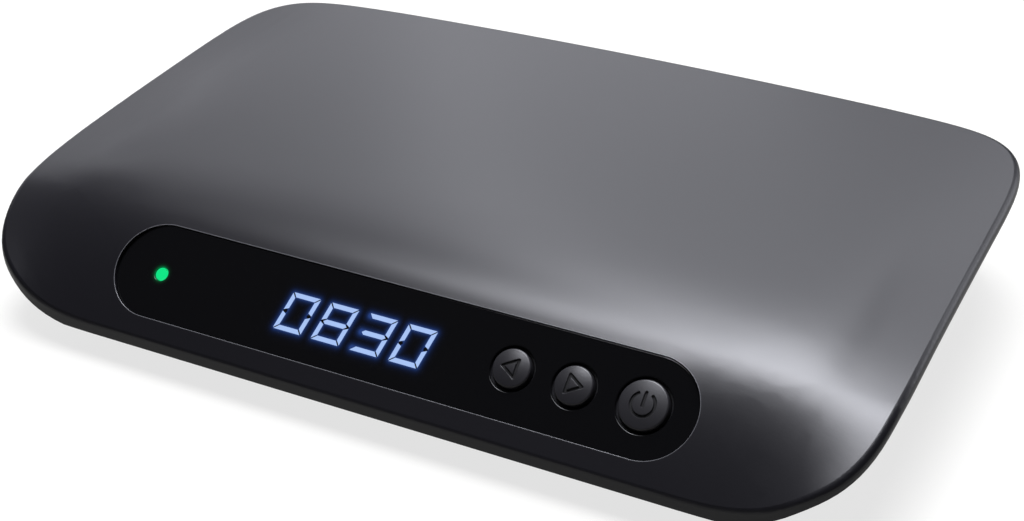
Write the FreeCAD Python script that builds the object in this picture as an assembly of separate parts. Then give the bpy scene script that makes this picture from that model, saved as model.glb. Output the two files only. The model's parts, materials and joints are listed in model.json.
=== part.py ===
"""Satellite television receiver: a thin bent-lid casing over a tray of electronics.

Frame: millimetres, +Z up, origin on the floor under the middle of the casing.
The front looks along -Y and the sockets along +Y.
"""
import FreeCAD, Part
import math
import os
from FreeCAD import Placement, Rotation, Vector

# ------------------------------------------------------------------ casing
cover_width = 220.0        # widest place of the lid
cover_depth = 139.6        # front edge to the line where the rear corners end
rear_bow = 5.3             # how far the rear edge swells at its middle
front_corner = 45.9        # reach of a front corner along each side
rear_corner = 53.8         # reach of a rear corner along each side
front_corner_power = 4.4   # superellipse exponents of the corners
rear_corner_power = 4.7
cover_height = 27.8        # front lip's bottom to the top of the lid
cover_wall = 2.2
edge_round = 1.6           # rounding where the lid's top meets its rim
lip_clearance = 6.5        # front lip's bottom above the floor
lip_height = 2.3           # upright part of the front lip
skin_lead = 8.5            # lid's profile: first pole, in front of and below the foot of the face
brow_depth = 13.8          # third pole behind the front edge
brow_rise = 17.0           # and above the foot
turn_depth = 36.7          # fourth pole behind the front edge
turn_drop = 0.2            # and below the lid's top
crest_depth = 46.1         # fifth pole behind the front edge
crest_swell = 1.5          # and above the lid's top
rear_overrun = 6.0         # last pole behind the rear edge
rear_drop = 1.65           # and below the lid's top
corner_lifts = (24.4, 3.3, -0.4, -5.3, -5.4, 2.5)   # side pull of each profile pole
inner_lift_share = 0.65    # share of that pull one station further in

tray_side_inset = 12.0     # lid's side edge to the tray's wall
tray_front_inset = 6.0
tray_rear_inset = 7.0
tray_corner = 34.0
tray_wall = 2.0
floor_height = 2.5         # underside of the tray above the floor
seam_gap = 0.15            # tray wall's top to the lid
cut_margin = 1.0           # how far a cut runs past the surface it opens
post_root = 0.5            # how far a post starts inside what carries it

foot_radius = 6.0
foot_recess = 0.8
foot_chamfer = 1.0
foot_inset_x = 24.0        # tray's side to a foot's middle
foot_inset_front = 24.0
foot_inset_rear = 14.0
foot_gap = 0.1             # foot to the side of its recess

# ------------------------------------------------------------------ front window and keys
window_tilt = 48.5         # slope of the window, degrees from upright
window_rise = 16.5         # distance up the face to the window's middle line
window_swell = 0.5         # window's plane in front of the foot of the face
pad_margin = 2.5           # flat pad behind the window, beyond its edge
window_length = 144.6
window_height = 22.8
window_thickness = 1.1
window_recess = 0.2        # face of the window below the face of the lid
window_gap = 0.12
window_bevel = 0.35
arrow_key_radius = 4.33
power_key_radius = 5.45
arrow_ring_radius = 5.07   # hole in the window round an arrow key
power_ring_radius = 6.12
power_key_inset = 12.1     # window's end to the middle of the power key
right_key_spacing = 15.7   # power key to the right arrow key
left_key_spacing = 14.4    # right arrow key to the left arrow key
key_line = 0.2             # keys above the window's middle line
key_proud = 0.6            # rim of a key above the face of the lid
key_crown = 0.45           # extra height of a key's domed middle
key_gap = 0.25             # key to its guide hole
key_flange = 1.2           # flange beyond the key's radius
key_flange_thickness = 1.0
key_float = 0.15           # flange to the lid's inside at rest
key_travel = 0.5
stem_radius = 1.6          # key's stem
light_radius = 1.5
light_inset = 12.0         # window's other end to the light
light_line = -0.5
light_gap = 0.15           # light guide to its holes
digit_count = 4
digit_centre = -8.3
digit_line = -0.9
digit_pitch = 9.87
digit_height = 9.05
digit_width = 7.2
digit_stroke = 1.25
digit_slant = 11.0         # degrees
display_end_margin = 0.8   # display's face beyond its digits
display_edge_margin = 2.2
display_drop = 0.6         # display's face below the lid's inside
display_gap = 0.5          # display to its opening
segment_depth = 0.3
segment_gap = 0.12         # between two bars of a digit
receiver_spacing = 18.3    # light to the infrared receiver
receiver_radius = 2.6
receiver_gap = 0.4         # receiver's line of sight beyond its body
receiver_drop = 2.0        # receiver's block below the lid's inside
receiver_lens = 1.5        # lens above that block
receiver_lens_share = 0.8  # of the block's half width
switch_size = 6.0
switch_height = 3.5
switch_chamfer = 0.6
switch_well_gap = 0.4      # plunger pressed home to the bottom of its well
plunger_radius = 1.75
plunger_proud = 0.9
plunger_depth = 1.0
plunger_gap = 0.05
led_top = -3.6             # tip of the diode below the face of the lid
led_rim = 0.3
led_rim_height = 1.0
guide_gap = 0.2            # diode's tip to the light guide
guide_collar = 1.0
guide_collar_thickness = 1.15
guide_collar_gap = 0.05    # collar to the lid's inside
front_screw_inset = 4.0    # front board's end to a screw
front_post_radius = 2.4

# ------------------------------------------------------------------ boards
board_thickness = 1.6
board_corner = 2.0
front_board_drop = 9.0     # face of the lid to the front board
front_board_overhang = 2.0 # board beyond each end of the window
front_board_below = 10.4   # board's lower edge below the window's middle line
front_board_above = 9.6
board_side_gap = 2.4       # main board to the case posts beside it
board_front_gap = 21.0     # tray's front to the main board
main_board_gap = 0.9       # board to the rear panel
standoff_height = 3.5
panel_thickness = 1.2
panel_recess = 1.5         # rear panel in from the tray's rear edge
panel_tongue = 1.0         # how far the panel reaches into its grooves
panel_gap = 0.1
cutout_gap = 0.3

# ------------------------------------------------------------------ screws
boss_radius = 3.5
case_boss_radius = 4.6
boss_split = 16.0          # height where the tray's posts meet the lid's
case_boss_inset = 11.0     # tray's side to a case post's middle
case_boss_front = 21.0     # tray's front to the front posts
case_boss_rear = 16.6      # tray's rear to the rear posts
screw_radius = 1.5
screw_head_radius = 2.8
screw_head_height = 1.6
screw_gap = 0.2            # clearance hole round a screw
thread_gap = 0.03
slot_share = 0.55          # screw's cross slot, of the head's radius
slot_half_width = 0.35
slot_depth = 0.8
head_recess = 3.5          # screw seat above the tray's underside
case_screw_length = 18.0
small_screw_radius = 1.1
small_head_radius = 2.0
main_board_screw_length = 3.5
front_board_screw_length = 5.5
pilot_depth = 9.0          # blind hole in the lid's posts
rib_depth = 3.0            # locating ribs below the lid's inside
rib_thickness = 1.6
rib_end_gap = 10.0         # case post to the end of a rib
rib_gap = 0.2              # rib to the tray's side wall
vent_width = 2.0
vent_pitch = 4.8
vent_length = 18.0
vent_rows = (0.28, 0.62)   # rows of floor slots, share of the board's depth
vent_field = 0.6           # floor slots, share of the board's width
vent_wall_height = 12.0    # slots in the side walls
vent_wall_field = 0.3      # share of the board's depth
vent_wall_start = 8.0      # in front of the board's rear edge

# ------------------------------------------------------------------ sockets
socket_margin = 1.5        # main board's side to the first and last socket
coax_spacing = 18.0
coax_radius = 4.76
coax_reach = 11.0          # coaxial sockets stand out of the panel
coax_centre = 7.0          # above the main board
coax_edge = 0.5            # chamfer at the mouth
coax_rim = 1.2             # from the thread to the dielectric
coax_sink = 1.0            # dielectric below the mouth
coax_pin_radius = 0.6
coax_pin_depth = 8.0
phono_radius = 4.15
phono_reach = 8.5
phono_width = 10.0
phono_centre = 6.0         # above the main board
phono_flange = 0.8
phono_flange_proud = 0.6
phono_hole_radius = 1.65
phono_hole_share = 0.8     # of the block's depth
jack_radius = 1.85
jack_width = 7.0
jack_centre = 3.8
jack_depth = 14.0
jack_end_wall = 1.0
barrel_radius = 3.0
barrel_pin_radius = 1.0
barrel_depth = 9.5
barrel_pin_root = 0.5      # pin's foot inside the block
barrel_pin_short = 0.8     # pin's tip below the mouth
barrel_centre = 6.0        # above the main board

shell_wall = 0.5           # folded socket shells
block_gap = 0.2            # moulded blocks to the rear panel
hdmi_width = 15.0
hdmi_height = 6.2
hdmi_depth = 12.0
hdmi_corner = 1.2
hdmi_tongue = (12.4, 1.1)  # width and thickness
hdmi_tongue_share = 0.55   # of the shell's height
hdmi_tongue_sink = 1.0     # tongue's tip inside the panel's face
network_width = 16.0
network_height = 13.5
network_depth = 18.0
network_cavity = 13.0
network_mouth = (11.9, 3.4, 10.4)   # width, bottom and top of the plug's cavity
network_latch = (6.2, 1.2, 4.0)     # the same for the latch's channel
usb_width = 14.0
usb_height = 6.6
usb_depth = 14.0
usb_corner = 0.2
usb_tongue = (11.0, 1.6)   # width and thickness
usb_tongue_drop = 1.4      # tongue below the shell's top
usb_tongue_sink = 1.2
tongue_root = 0.2          # tongues stop this far short of a shell's depth
power_width = 9.0
power_height = 11.0
power_depth = 13.0
socket_proud = 0.3         # moulded and folded sockets stand this far out of the panel
jack_collar_radius = 3.0
nut_across = 11.5
nut_thickness = 2.0
relief_width = 0.6         # thread relief at the nut's face
relief_depth = 0.3

# ------------------------------------------------------------------ inside
tuner_depth = 20.0
tuner_margin = 3.0         # can's side beyond a coaxial socket
tuner_height = 13.0
tuner_panel_gap = 0.5      # can to the rear panel
tuner_bore_share = 0.6     # bore behind a coaxial socket, of its radius
tuner_hole_radius = 1.5    # trimming holes in the roof
tuner_hole_rows = (0.3, 0.6)
can_wall = 0.6
card_slot = 56.0
card_slot_height = 2.4
card_above_board = 2.4     # card's middle plane above the main board
card_reader_length = 52.0
card_reader_wall = 1.2
card_reader_gap = 0.3      # reader to the tray's wall
card_reader_roof = 2.2     # above the card's middle plane
card_reader_foot = 1.5     # reader's step onto the board
card_reader_lift = 0.6
card_half_thickness = 0.6  # half the slot for the card
card_stop = 2.0            # end of the slot inside the reader
card_window = (12.0, 8.0, 28.0)     # roof's opening: from each end, and its width
chip_size = 17.0
chip_height = 1.4
chip_place = 10.0          # right of the casing's middle
chip_share = 0.45          # of the board's depth
memory_width = 9.0
memory_length = 13.0
memory_height = 1.1
memory_spacing = 16.0
storage_width = 6.0
storage_length = 8.0
component_gap = 3.5
heat_sink_size = 32.0
heat_sink_height = 9.0
sink_base = 2.0
fin_thickness = 1.2
fin_count = 9
large_can_radius = 4.0
large_can_height = 11.0
small_can_radius = 3.2
small_can_height = 9.0
can_spacing = 11.0
can_clearance = 10.0       # power inlet to the first capacitors
header_place = 44.0        # right of the casing's middle
header_length = 20.0
header_depth = 4.0
header_inset = 9.0         # main board's front to its header
header_line = 5.0          # front connector above the window's middle line
header_height = 3.2
ribbon_width = 17.0
ribbon_thickness = 0.6
ribbon_bend = 5.0
board_hole_inset = 3.5
board_rear_hole_inset = 15.0

# ------------------------------------------------------------------ derived places
half_width = cover_width / 2
total_depth = cover_depth + rear_bow
front_y = -total_depth / 2
rear_side_y = front_y + cover_depth
top_z = lip_clearance + cover_height
face_slope = 90 - window_tilt
up_face = Vector(0, math.cos(math.radians(face_slope)), math.sin(math.radians(face_slope)))
out_of_face = Vector(0, -up_face.z, up_face.y)
face_foot = Vector(0, front_y, lip_clearance + lip_height)
window_centre = face_foot + up_face * window_rise + out_of_face * window_swell
face_place = Placement(window_centre, Rotation(Vector(1, 0, 0), face_slope))

tray_half_width = half_width - tray_side_inset
tray_front_y = front_y + tray_front_inset
tray_rear_y = rear_side_y - tray_rear_inset
floor_top = floor_height + tray_wall
panel_y = tray_rear_y - panel_recess           # outer face of the rear panel
panel_inner_y = panel_y - panel_thickness
board_bottom = floor_top + standoff_height
board_top = board_bottom + board_thickness
board_rear_y = panel_inner_y - main_board_gap
board_front_y = tray_front_y + board_front_gap
board_depth = board_rear_y - board_front_y
case_boss_x = tray_half_width - case_boss_inset
board_half_width = case_boss_x - case_boss_radius - board_side_gap
front_board_face = -front_board_drop           # along the face's outward axis
front_board_back = front_board_face - board_thickness
pocket_floor = -window_recess - window_thickness
pad_top = 5.0                                  # above the casing everywhere, in the window's own axes
display_length = digit_pitch * digit_count + 2 * display_end_margin
display_height = digit_height + 2 * display_edge_margin
display_face = -cover_wall - display_drop
power_key_place = window_length / 2 - power_key_inset
right_key_place = power_key_place - right_key_spacing
left_key_place = right_key_place - left_key_spacing
light_place = light_inset - window_length / 2
receiver_place = light_place + receiver_spacing
front_board_length = window_length + 2 * front_board_overhang
display_end = digit_centre + display_length / 2
left_key_side = left_key_place - arrow_key_radius - key_flange
front_screw_places = (
    front_screw_inset - front_board_length / 2,
    (display_end + left_key_side) / 2,
    front_board_length / 2 - front_screw_inset,
)
tuner_rear_y = panel_inner_y - tuner_panel_gap
coax_z = board_top + coax_centre
phono_z = board_top + phono_centre
jack_z = board_top + jack_centre
front_post_y = tray_front_y + case_boss_front
rear_post_y = tray_rear_y - case_boss_rear
front_post_rear = front_post_y + case_boss_radius
card_y = (front_post_rear + tuner_rear_y - tuner_depth) / 2
card_z = board_top + card_above_board
chip_y = board_front_y + board_depth * chip_share
header_y = board_front_y + header_inset
tuner_width = coax_spacing + 2 * (coax_radius + tuner_margin)

SOCKET_WIDTHS = {
    "tuner": tuner_width,
    "hdmi": hdmi_width,
    "network": network_width,
    "usb": usb_width,
    "digital_audio": phono_width,
    "av": jack_width,
    "power": power_width,
}


def socket_places():
    """Middle of each socket, spread evenly along the board's rear from left to right."""
    room = 2 * (board_half_width - socket_margin) - sum(SOCKET_WIDTHS.values())
    gap = room / (len(SOCKET_WIDTHS) - 1)
    places = {}
    x = socket_margin - board_half_width
    for name, width in SOCKET_WIDTHS.items():
        places[name] = x + width / 2
        x += width + gap
    return places


PLACES = socket_places()
lnb_input_x = PLACES["tuner"] - coax_spacing / 2
lnb_loop_x = PLACES["tuner"] + coax_spacing / 2
hdmi_x = PLACES["hdmi"]
network_x = PLACES["network"]
usb_x = PLACES["usb"]
digital_audio_x = PLACES["digital_audio"]
av_x = PLACES["av"]
power_x = PLACES["power"]

KEYS = {
    "left_arrow": (left_key_place, arrow_key_radius, arrow_ring_radius),
    "right_arrow": (right_key_place, arrow_key_radius, arrow_ring_radius),
    "power": (power_key_place, power_key_radius, power_ring_radius),
}


# ------------------------------------------------------------------ general helpers
def box(x0, x1, y0, y1, z0, z1):
    """A block between two corners."""
    return Part.makeBox(x1 - x0, y1 - y0, z1 - z0, Vector(x0, y0, z0))


def post(x, y, z0, z1, radius, axis=Vector(0, 0, 1)):
    """A round post that starts at z0 and ends at z1."""
    return Part.makeCylinder(radius, z1 - z0, Vector(x, y, z0), axis)


def rearward(x, z, y0, y1, radius):
    """A round bar along +Y."""
    return Part.makeCylinder(radius, y1 - y0, Vector(x, y0, z), Vector(0, 1, 0))


def turned(points, centre, axis):
    """A solid turned from (radius, height) points about an axis through centre."""
    outline = [Vector(radius, 0, height) for radius, height in points]
    outline.append(outline[0])
    solid = Part.Face(Part.makePolygon(outline)).revolve(Vector(0, 0, 0), Vector(0, 0, 1), 360)
    solid.Placement = Placement(centre, Rotation(Vector(0, 0, 1), axis))
    return solid


def fused(shapes):
    """All the shapes joined into one clean solid."""
    whole = shapes[0]
    if len(shapes) > 1:
        whole = whole.fuse(shapes[1:])
    return whole.removeSplitter()


def carved(solid, cutters):
    """The solid less every cutter."""
    return solid.cut(cutters).removeSplitter()


def on_face(shape):
    """Carries a shape from the window's own axes to its place on the casing."""
    placed = shape.copy()
    placed.Placement = face_place.multiply(placed.Placement)
    return placed


def save(shape, node):
    """Writes one node."""
    if shape.ShapeType == "Compound" and len(shape.Solids) == 1:
        shape = shape.Solids[0]
    shape.exportStep("parts/" + node + ".step")


# ------------------------------------------------------------------ casing outlines
def bowed(point):
    """Swells the rear half of the outline towards its middle."""
    half_depth = cover_depth / 2
    y = point.y - (front_y + half_depth)
    swell = 0.0
    if y > 0:
        swell = rear_bow * (y / half_depth) * (1 - (point.x / half_width) ** 2)
    return Vector(point.x, point.y + swell, point.z)


def corner_curve(side, end, reach):
    """One superellipse corner, from the side edge round to the front or rear edge."""
    edge_y = front_y if end < 0 else rear_side_y
    power = front_corner_power if end < 0 else rear_corner_power
    centre = Vector(side * (half_width - reach), edge_y - end * reach, 0)
    points = []
    for degrees in (0, 6, 16, 30, 45, 60, 74, 84, 90):
        turn = math.radians(degrees)
        across = math.cos(turn) ** (2 / power) if degrees < 90 else 0.0
        along = math.sin(turn) ** (2 / power)
        points.append(bowed(centre + Vector(side * reach * across, end * reach * along, 0)))
    start_direction = Vector(0, end, 0)
    slope = 0.0
    if end > 0:
        slope = -2 * rear_bow * centre.x / half_width ** 2
    end_direction = Vector(-side, -side * slope, 0)
    curve = Part.BSplineCurve()
    curve.interpolate(Points=points, InitialTangent=start_direction, FinalTangent=end_direction)
    return curve.toShape(), points[0], points[-1]


def cover_outline():
    """The lid seen from above: straight front and sides, bowed rear, soft corners."""
    front_right, right_front, front_end = corner_curve(1, -1, front_corner)
    front_left, left_front, front_start = corner_curve(-1, -1, front_corner)
    rear_right, right_rear, rear_end = corner_curve(1, 1, rear_corner)
    rear_left, left_rear, rear_start = corner_curve(-1, 1, rear_corner)
    middle = bowed(Vector(0, rear_side_y, 0))
    rear_edge = Part.Arc(rear_start, middle, rear_end).toShape()
    edges = [
        Part.makeLine(front_start, front_end),
        front_right,
        Part.makeLine(right_front, right_rear),
        rear_right,
        rear_edge,
        rear_left,
        Part.makeLine(left_rear, left_front),
        front_left,
    ]
    return Part.Wire(Part.__sortEdges__(edges))


def cover_prism():
    """Everything straight above the lid's outline, from the lip's bottom up."""
    wire = cover_outline()
    wire.translate(Vector(0, 0, lip_clearance))
    return Part.Face(wire).extrude(Vector(0, 0, cover_height + 20))


def rounded_plan(inset, z0, z1, rear_y):
    """The tray's plan, round at the front corners and square at the rear."""
    radius = tray_corner - inset
    x = tray_half_width - inset
    y = tray_front_y + inset
    skew = radius * (1 - math.sqrt(0.5))
    points = [
        Vector(-x, rear_y, z0),
        Vector(-x, y + radius, z0),
        Vector(-x + skew, y + skew, z0),
        Vector(-x + radius, y, z0),
        Vector(x - radius, y, z0),
        Vector(x - skew, y + skew, z0),
        Vector(x, y + radius, z0),
        Vector(x, rear_y, z0),
    ]
    edges = [
        Part.makeLine(points[0], points[1]),
        Part.Arc(points[1], points[2], points[3]).toShape(),
        Part.makeLine(points[3], points[4]),
        Part.Arc(points[4], points[5], points[6]).toShape(),
        Part.makeLine(points[6], points[7]),
        Part.makeLine(points[7], points[0]),
    ]
    return Part.Face(Part.Wire(edges)).extrude(Vector(0, 0, z1 - z0))


# ------------------------------------------------------------------ lid surface
def profile_poles():
    """Side profile of the lid: a sloped face that turns softly into a nearly level top."""
    return [
        face_foot - Vector(0, skin_lead, skin_lead),
        face_foot,
        face_foot + Vector(0, brow_depth, brow_rise),
        Vector(0, front_y + turn_depth, top_z - turn_drop),
        Vector(0, front_y + crest_depth, top_z + crest_swell),
        Vector(0, front_y + total_depth + rear_overrun, top_z - rear_drop),
    ]


def parallel_poles(poles, depth):
    """The profile's poles moved inwards by depth, kept parallel to its legs."""
    normals = []
    for first, second in zip(poles, poles[1:]):
        leg = second - first
        normals.append(Vector(0, leg.z, -leg.y).normalize())
    moved = [poles[0] + normals[0] * depth]
    for index in range(1, len(poles) - 1):
        before = normals[index - 1]
        after = normals[index]
        moved.append(poles[index] + (before + after) * (depth / (1 + before.dot(after))))
    moved.append(poles[-1] + normals[-1] * depth)
    return moved


def under_skin(depth):
    """Everything below the lid's skin, or below a skin parallel to it at a depth."""
    stations = [half_width + 8, half_width - 7, half_width - 22, half_width - 50]
    stations = [-x for x in stations] + stations[::-1]
    shares = [1, inner_lift_share, 0, 0, 0, 0, inner_lift_share, 1]
    rows = []
    for x, share in zip(stations, shares):
        row = []
        for pole, lift in zip(parallel_poles(profile_poles(), depth), corner_lifts):
            row.append(Vector(x, pole.y, pole.z + share * lift))
        rows.append(row)
    across_count = len(stations)
    across_knots = list(range(across_count - 1))
    across_multiples = [3] + [1] * (across_count - 3) + [3]
    skin = Part.BSplineSurface()
    skin.buildFromPolesMultsKnots(rows, across_multiples, [4, 2, 4], across_knots, [0, 1, 2],
                                  False, False, 2, 3)
    return skin.toShape().extrude(Vector(0, 0, -top_z - 30))


# ------------------------------------------------------------------ shapes in the window's own axes
def stadium(length, height, z0, z1):
    """A slot-shaped plate, long side along X."""
    radius = height / 2
    reach = length / 2 - radius
    lower_left = Vector(-reach, -radius, z0)
    lower_right = Vector(reach, -radius, z0)
    upper_left = Vector(-reach, radius, z0)
    upper_right = Vector(reach, radius, z0)
    edges = [
        Part.makeLine(lower_left, lower_right),
        Part.Arc(lower_right, Vector(length / 2, 0, z0), upper_right).toShape(),
        Part.makeLine(upper_right, upper_left),
        Part.Arc(upper_left, Vector(-length / 2, 0, z0), lower_left).toShape(),
    ]
    return Part.Face(Part.Wire(edges)).extrude(Vector(0, 0, z1 - z0))


def key_body(place, radius):
    """A key: domed cap, guide, flange that keeps it in, and the stem that works the switch."""
    top = key_proud
    flange_top = -cover_wall - key_float
    flange_bottom = flange_top - key_flange_thickness
    stem_bottom = switch_rest_height()
    sagitta = key_crown
    dome_radius = (radius ** 2 + sagitta ** 2) / (2 * sagitta)
    body = post(place, key_line, flange_bottom, top + sagitta, radius)
    dome = Part.makeSphere(dome_radius, Vector(place, key_line, top + sagitta - dome_radius))
    body = body.common(dome.fuse(post(place, key_line, flange_bottom, top - sagitta, radius + 1)))
    flange = post(place, key_line, flange_bottom, flange_top, radius + key_flange)
    stem = post(place, key_line, stem_bottom, flange_bottom, stem_radius)
    return fused([body, flange, stem])


def switch_rest_height():
    """Top of a switch's plunger before it is pressed."""
    return front_board_face + switch_height + plunger_proud


def switch_body(place):
    """A square switch with a round well for its plunger."""
    half = switch_size / 2
    bottom = front_board_face
    top = bottom + switch_height
    body = box(place - half, place + half, key_line - half, key_line + half, bottom, top)
    edges = [edge for edge in body.Edges if abs(edge.Length - switch_height) < 1e-6]
    body = body.makeChamfer(switch_chamfer, edges)
    well_bottom = top - plunger_depth - key_travel - switch_well_gap
    well = post(place, key_line, well_bottom, top + cut_margin, plunger_radius + plunger_gap)
    return carved(body, [well])


def switch_plunger(place):
    """The round plunger that the key's stem pushes."""
    top = front_board_face + switch_height
    return post(place, key_line, top - plunger_depth, top + plunger_proud, plunger_radius)


# ------------------------------------------------------------------ top cover
def cover_ribs():
    """Straight ribs that locate the lid inside the tray's side walls."""
    outer = tray_half_width - tray_wall - rib_gap
    ribs = []
    for side in (-1, 1):
        inner = side * (outer - rib_thickness)
        edge = side * outer
        ribs.append(box(min(inner, edge), max(inner, edge), front_post_y + rib_end_gap,
                        rear_post_y - rib_end_gap, boss_split, top_z))
    return ribs


def case_posts():
    """Places of the four screw posts that hold lid and tray together."""
    return [(side * case_boss_x, y) for side in (-1, 1) for y in (front_post_y, rear_post_y)]


def lid_sheet():
    """The bare lid: outline and skin cut to a sheet, its upper edge rounded all the way round."""
    lump = cover_prism().common(under_skin(0)).Solids[0]
    skin_faces = [face for face in lump.Faces if face.BoundBox.ZLength > 1 and upward(face)]
    rim_edges = max(skin_faces, key=lambda face: face.Area).Edges
    lump = lump.makeFillet(edge_round, rim_edges)
    return lump.cut(under_skin(cover_wall)).Solids[0]


def window_pad(gap):
    """The flat-backed block behind the window, grown by a gap."""
    growth = 2 * (pad_margin + gap)
    return on_face(stadium(window_length + growth, window_height + growth, -cover_wall - gap, pad_top))


def upward(face):
    """True for a face that looks up rather than sideways."""
    u0, u1, v0, v1 = face.ParameterRange
    return abs(face.normalAt((u0 + u1) / 2, (v0 + v1) / 2).z) > 0.3


def top_cover():
    """The lid: one bent sheet with a window pocket, key holes, posts and ribs."""
    inside = under_skin(cover_wall / 2)
    shallow = under_skin(cover_wall + rib_depth)
    posts = [post(x, y, boss_split, top_z, boss_radius).common(inside) for x, y in case_posts()]
    ribs = [rib.common(inside).cut(shallow) for rib in cover_ribs()]
    for place in front_screw_places:
        posts.append(on_face(post(place, 0, front_board_face, -cover_wall / 2, front_post_radius)))
    whole = fused([lid_sheet(), window_pad(0).common(inside)] + posts + ribs)
    through = -cover_wall - 3 * cut_margin
    cutters = [on_face(stadium(window_length, window_height, pocket_floor, pad_top))]
    for place, radius, ring in KEYS.values():
        cutters.append(on_face(post(place, key_line, through, cut_margin, radius + key_gap)))
    cutters.append(on_face(display_block(display_gap, through, cut_margin)))
    cutters.append(on_face(post(light_place, light_line, through, cut_margin, light_radius + light_gap)))
    cutters.append(on_face(post(receiver_place, 0, through, cut_margin, receiver_radius + receiver_gap)))
    for place in front_screw_places:
        cutters.append(on_face(post(place, 0, front_board_face - cut_margin, -cover_wall - cut_margin,
                                    small_screw_radius + thread_gap)))
    for x, y in case_posts():
        cutters.append(post(x, y, boss_split - cut_margin, boss_split + pilot_depth,
                            screw_radius + thread_gap))
    return carved(whole, cutters)


# ------------------------------------------------------------------ bottom case
def vent_slots():
    """Rows of slots through the tray's floor and side walls."""
    slots = []
    count = int(2 * board_half_width * vent_field / vent_pitch)
    for share in vent_rows:
        row_y = board_front_y + board_depth * share
        for index in range(count):
            x = (index - (count - 1) / 2) * vent_pitch
            slots.append(box(x - vent_width / 2, x + vent_width / 2, row_y - vent_length / 2,
                             row_y + vent_length / 2, floor_height - cut_margin, floor_top + cut_margin))
    wall_count = int(board_depth * vent_wall_field / vent_pitch)
    outside = tray_half_width + cut_margin
    inside = tray_half_width - tray_wall - cut_margin
    for index in range(wall_count):
        y = board_rear_y - vent_wall_start - index * vent_pitch
        for x0, x1 in ((-outside, -inside), (inside, outside)):
            slots.append(box(x0, x1, y - vent_width / 2, y + vent_width / 2,
                             boss_split - vent_wall_height / 2, boss_split + vent_wall_height / 2))
    return slots


def foot_places():
    """Places of the four feet, by name."""
    x = tray_half_width - foot_inset_x
    front = tray_front_y + foot_inset_front
    rear = tray_rear_y - foot_inset_rear
    return {
        "front_left": (-x, front),
        "front_right": (x, front),
        "rear_left": (-x, rear),
        "rear_right": (x, rear),
    }


def board_posts():
    """Places of the four posts that carry the main board."""
    x = board_half_width - board_hole_inset
    front = board_front_y + board_hole_inset
    rear = board_rear_y - board_rear_hole_inset
    beside_tuner = (PLACES["tuner"] + tuner_width / 2 + hdmi_x - hdmi_width / 2) / 2
    return [(-x, front), (x, front), (beside_tuner, rear), (x, rear)]


def bottom_case():
    """The tray: floor and walls up to the lid, grooves for the rear panel, posts and vents."""
    tub = rounded_plan(0, floor_height, top_z, tray_rear_y)
    hollow = rounded_plan(tray_wall, floor_top, top_z + cut_margin, tray_rear_y + cut_margin)
    tub = tub.cut(hollow).common(under_skin(cover_wall + seam_gap))
    solids = [tub.cut(window_pad(seam_gap)).Solids[0]]
    for x, y in case_posts():
        solids.append(post(x, y, floor_top - post_root, boss_split - seam_gap, case_boss_radius))
    for x, y in board_posts():
        solids.append(post(x, y, floor_top - post_root, board_bottom, boss_radius))
    whole = fused(solids)
    groove = tray_half_width - tray_wall + panel_tongue + panel_gap
    cutters = vent_slots()
    cutters.append(box(-groove, groove, panel_inner_y - panel_gap, panel_y + panel_gap,
                       floor_top - panel_tongue - panel_gap, top_z))
    below = floor_height - cut_margin
    for x, y in case_posts():
        cutters.append(post(x, y, below, boss_split + cut_margin, screw_radius + screw_gap))
        cutters.append(post(x, y, below, floor_height + head_recess, screw_head_radius + screw_gap))
    for x, y in board_posts():
        cutters.append(post(x, y, floor_top, board_bottom + cut_margin, small_screw_radius + thread_gap))
    for x, y in foot_places().values():
        cutters.append(post(x, y, below, floor_height + foot_recess, foot_radius + foot_gap))
    cutters.append(card_mouth())
    return carved(whole, cutters)


def card_mouth():
    """The slot in the left wall that the smart card goes through."""
    return box(-tray_half_width - 1, -tray_half_width + tray_wall + 1, card_y - card_slot / 2,
               card_y + card_slot / 2, card_z - card_slot_height / 2, card_z + card_slot_height / 2)


def foot(x, y):
    """A rubber foot, glued into its recess."""
    profile = [
        (0, 0),
        (foot_radius - foot_chamfer, 0),
        (foot_radius, foot_chamfer),
        (foot_radius, floor_height + foot_recess),
        (0, floor_height + foot_recess),
    ]
    return turned(profile, Vector(x, y, 0), Vector(0, 0, 1))


# ------------------------------------------------------------------ rear panel
def rear_panel():
    """The plate that slides into the tray's grooves, cut out round every socket."""
    reach = tray_half_width - tray_wall + panel_tongue
    plate = box(-reach, reach, panel_inner_y, panel_y, floor_top - panel_tongue, top_z)
    plate = plate.common(under_skin(cover_wall + seam_gap)).Solids[0]
    y0 = panel_inner_y - cut_margin
    y1 = panel_y + cut_margin
    cutters = []
    for x in (lnb_input_x, lnb_loop_x):
        cutters.append(rearward(x, coax_z, y0, y1, coax_radius + cutout_gap))
    square_sockets = (
        (hdmi_x, hdmi_width, hdmi_height),
        (network_x, network_width, network_height),
        (usb_x, usb_width, usb_height),
        (power_x, power_width, power_height),
    )
    for x, width, height in square_sockets:
        cutters.append(box(x - width / 2 - cutout_gap, x + width / 2 + cutout_gap, y0, y1,
                           board_top - cutout_gap, board_top + height + cutout_gap))
    cutters.append(rearward(digital_audio_x, phono_z, y0, y1, phono_radius + phono_flange + cutout_gap))
    cutters.append(rearward(av_x, jack_z, y0, y1, jack_collar_radius + cutout_gap))
    return carved(plate, cutters)


# ------------------------------------------------------------------ front window and its electronics
def front_window():
    """The glossy strip, with holes for the keys and the light."""
    plate = stadium(window_length - 2 * window_gap, window_height - 2 * window_gap,
                    pocket_floor, -window_recess)
    upper_edges = [edge for edge in plate.Edges if edge.BoundBox.ZMin > -window_recess - 0.01]
    plate = plate.makeChamfer(window_bevel, upper_edges)
    cutters = []
    for place, radius, ring in KEYS.values():
        cutters.append(post(place, key_line, pocket_floor - cut_margin, cut_margin, ring))
    cutters.append(post(light_place, light_line, pocket_floor - cut_margin, cut_margin,
                        light_radius + light_gap))
    return on_face(carved(plate, cutters))


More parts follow.
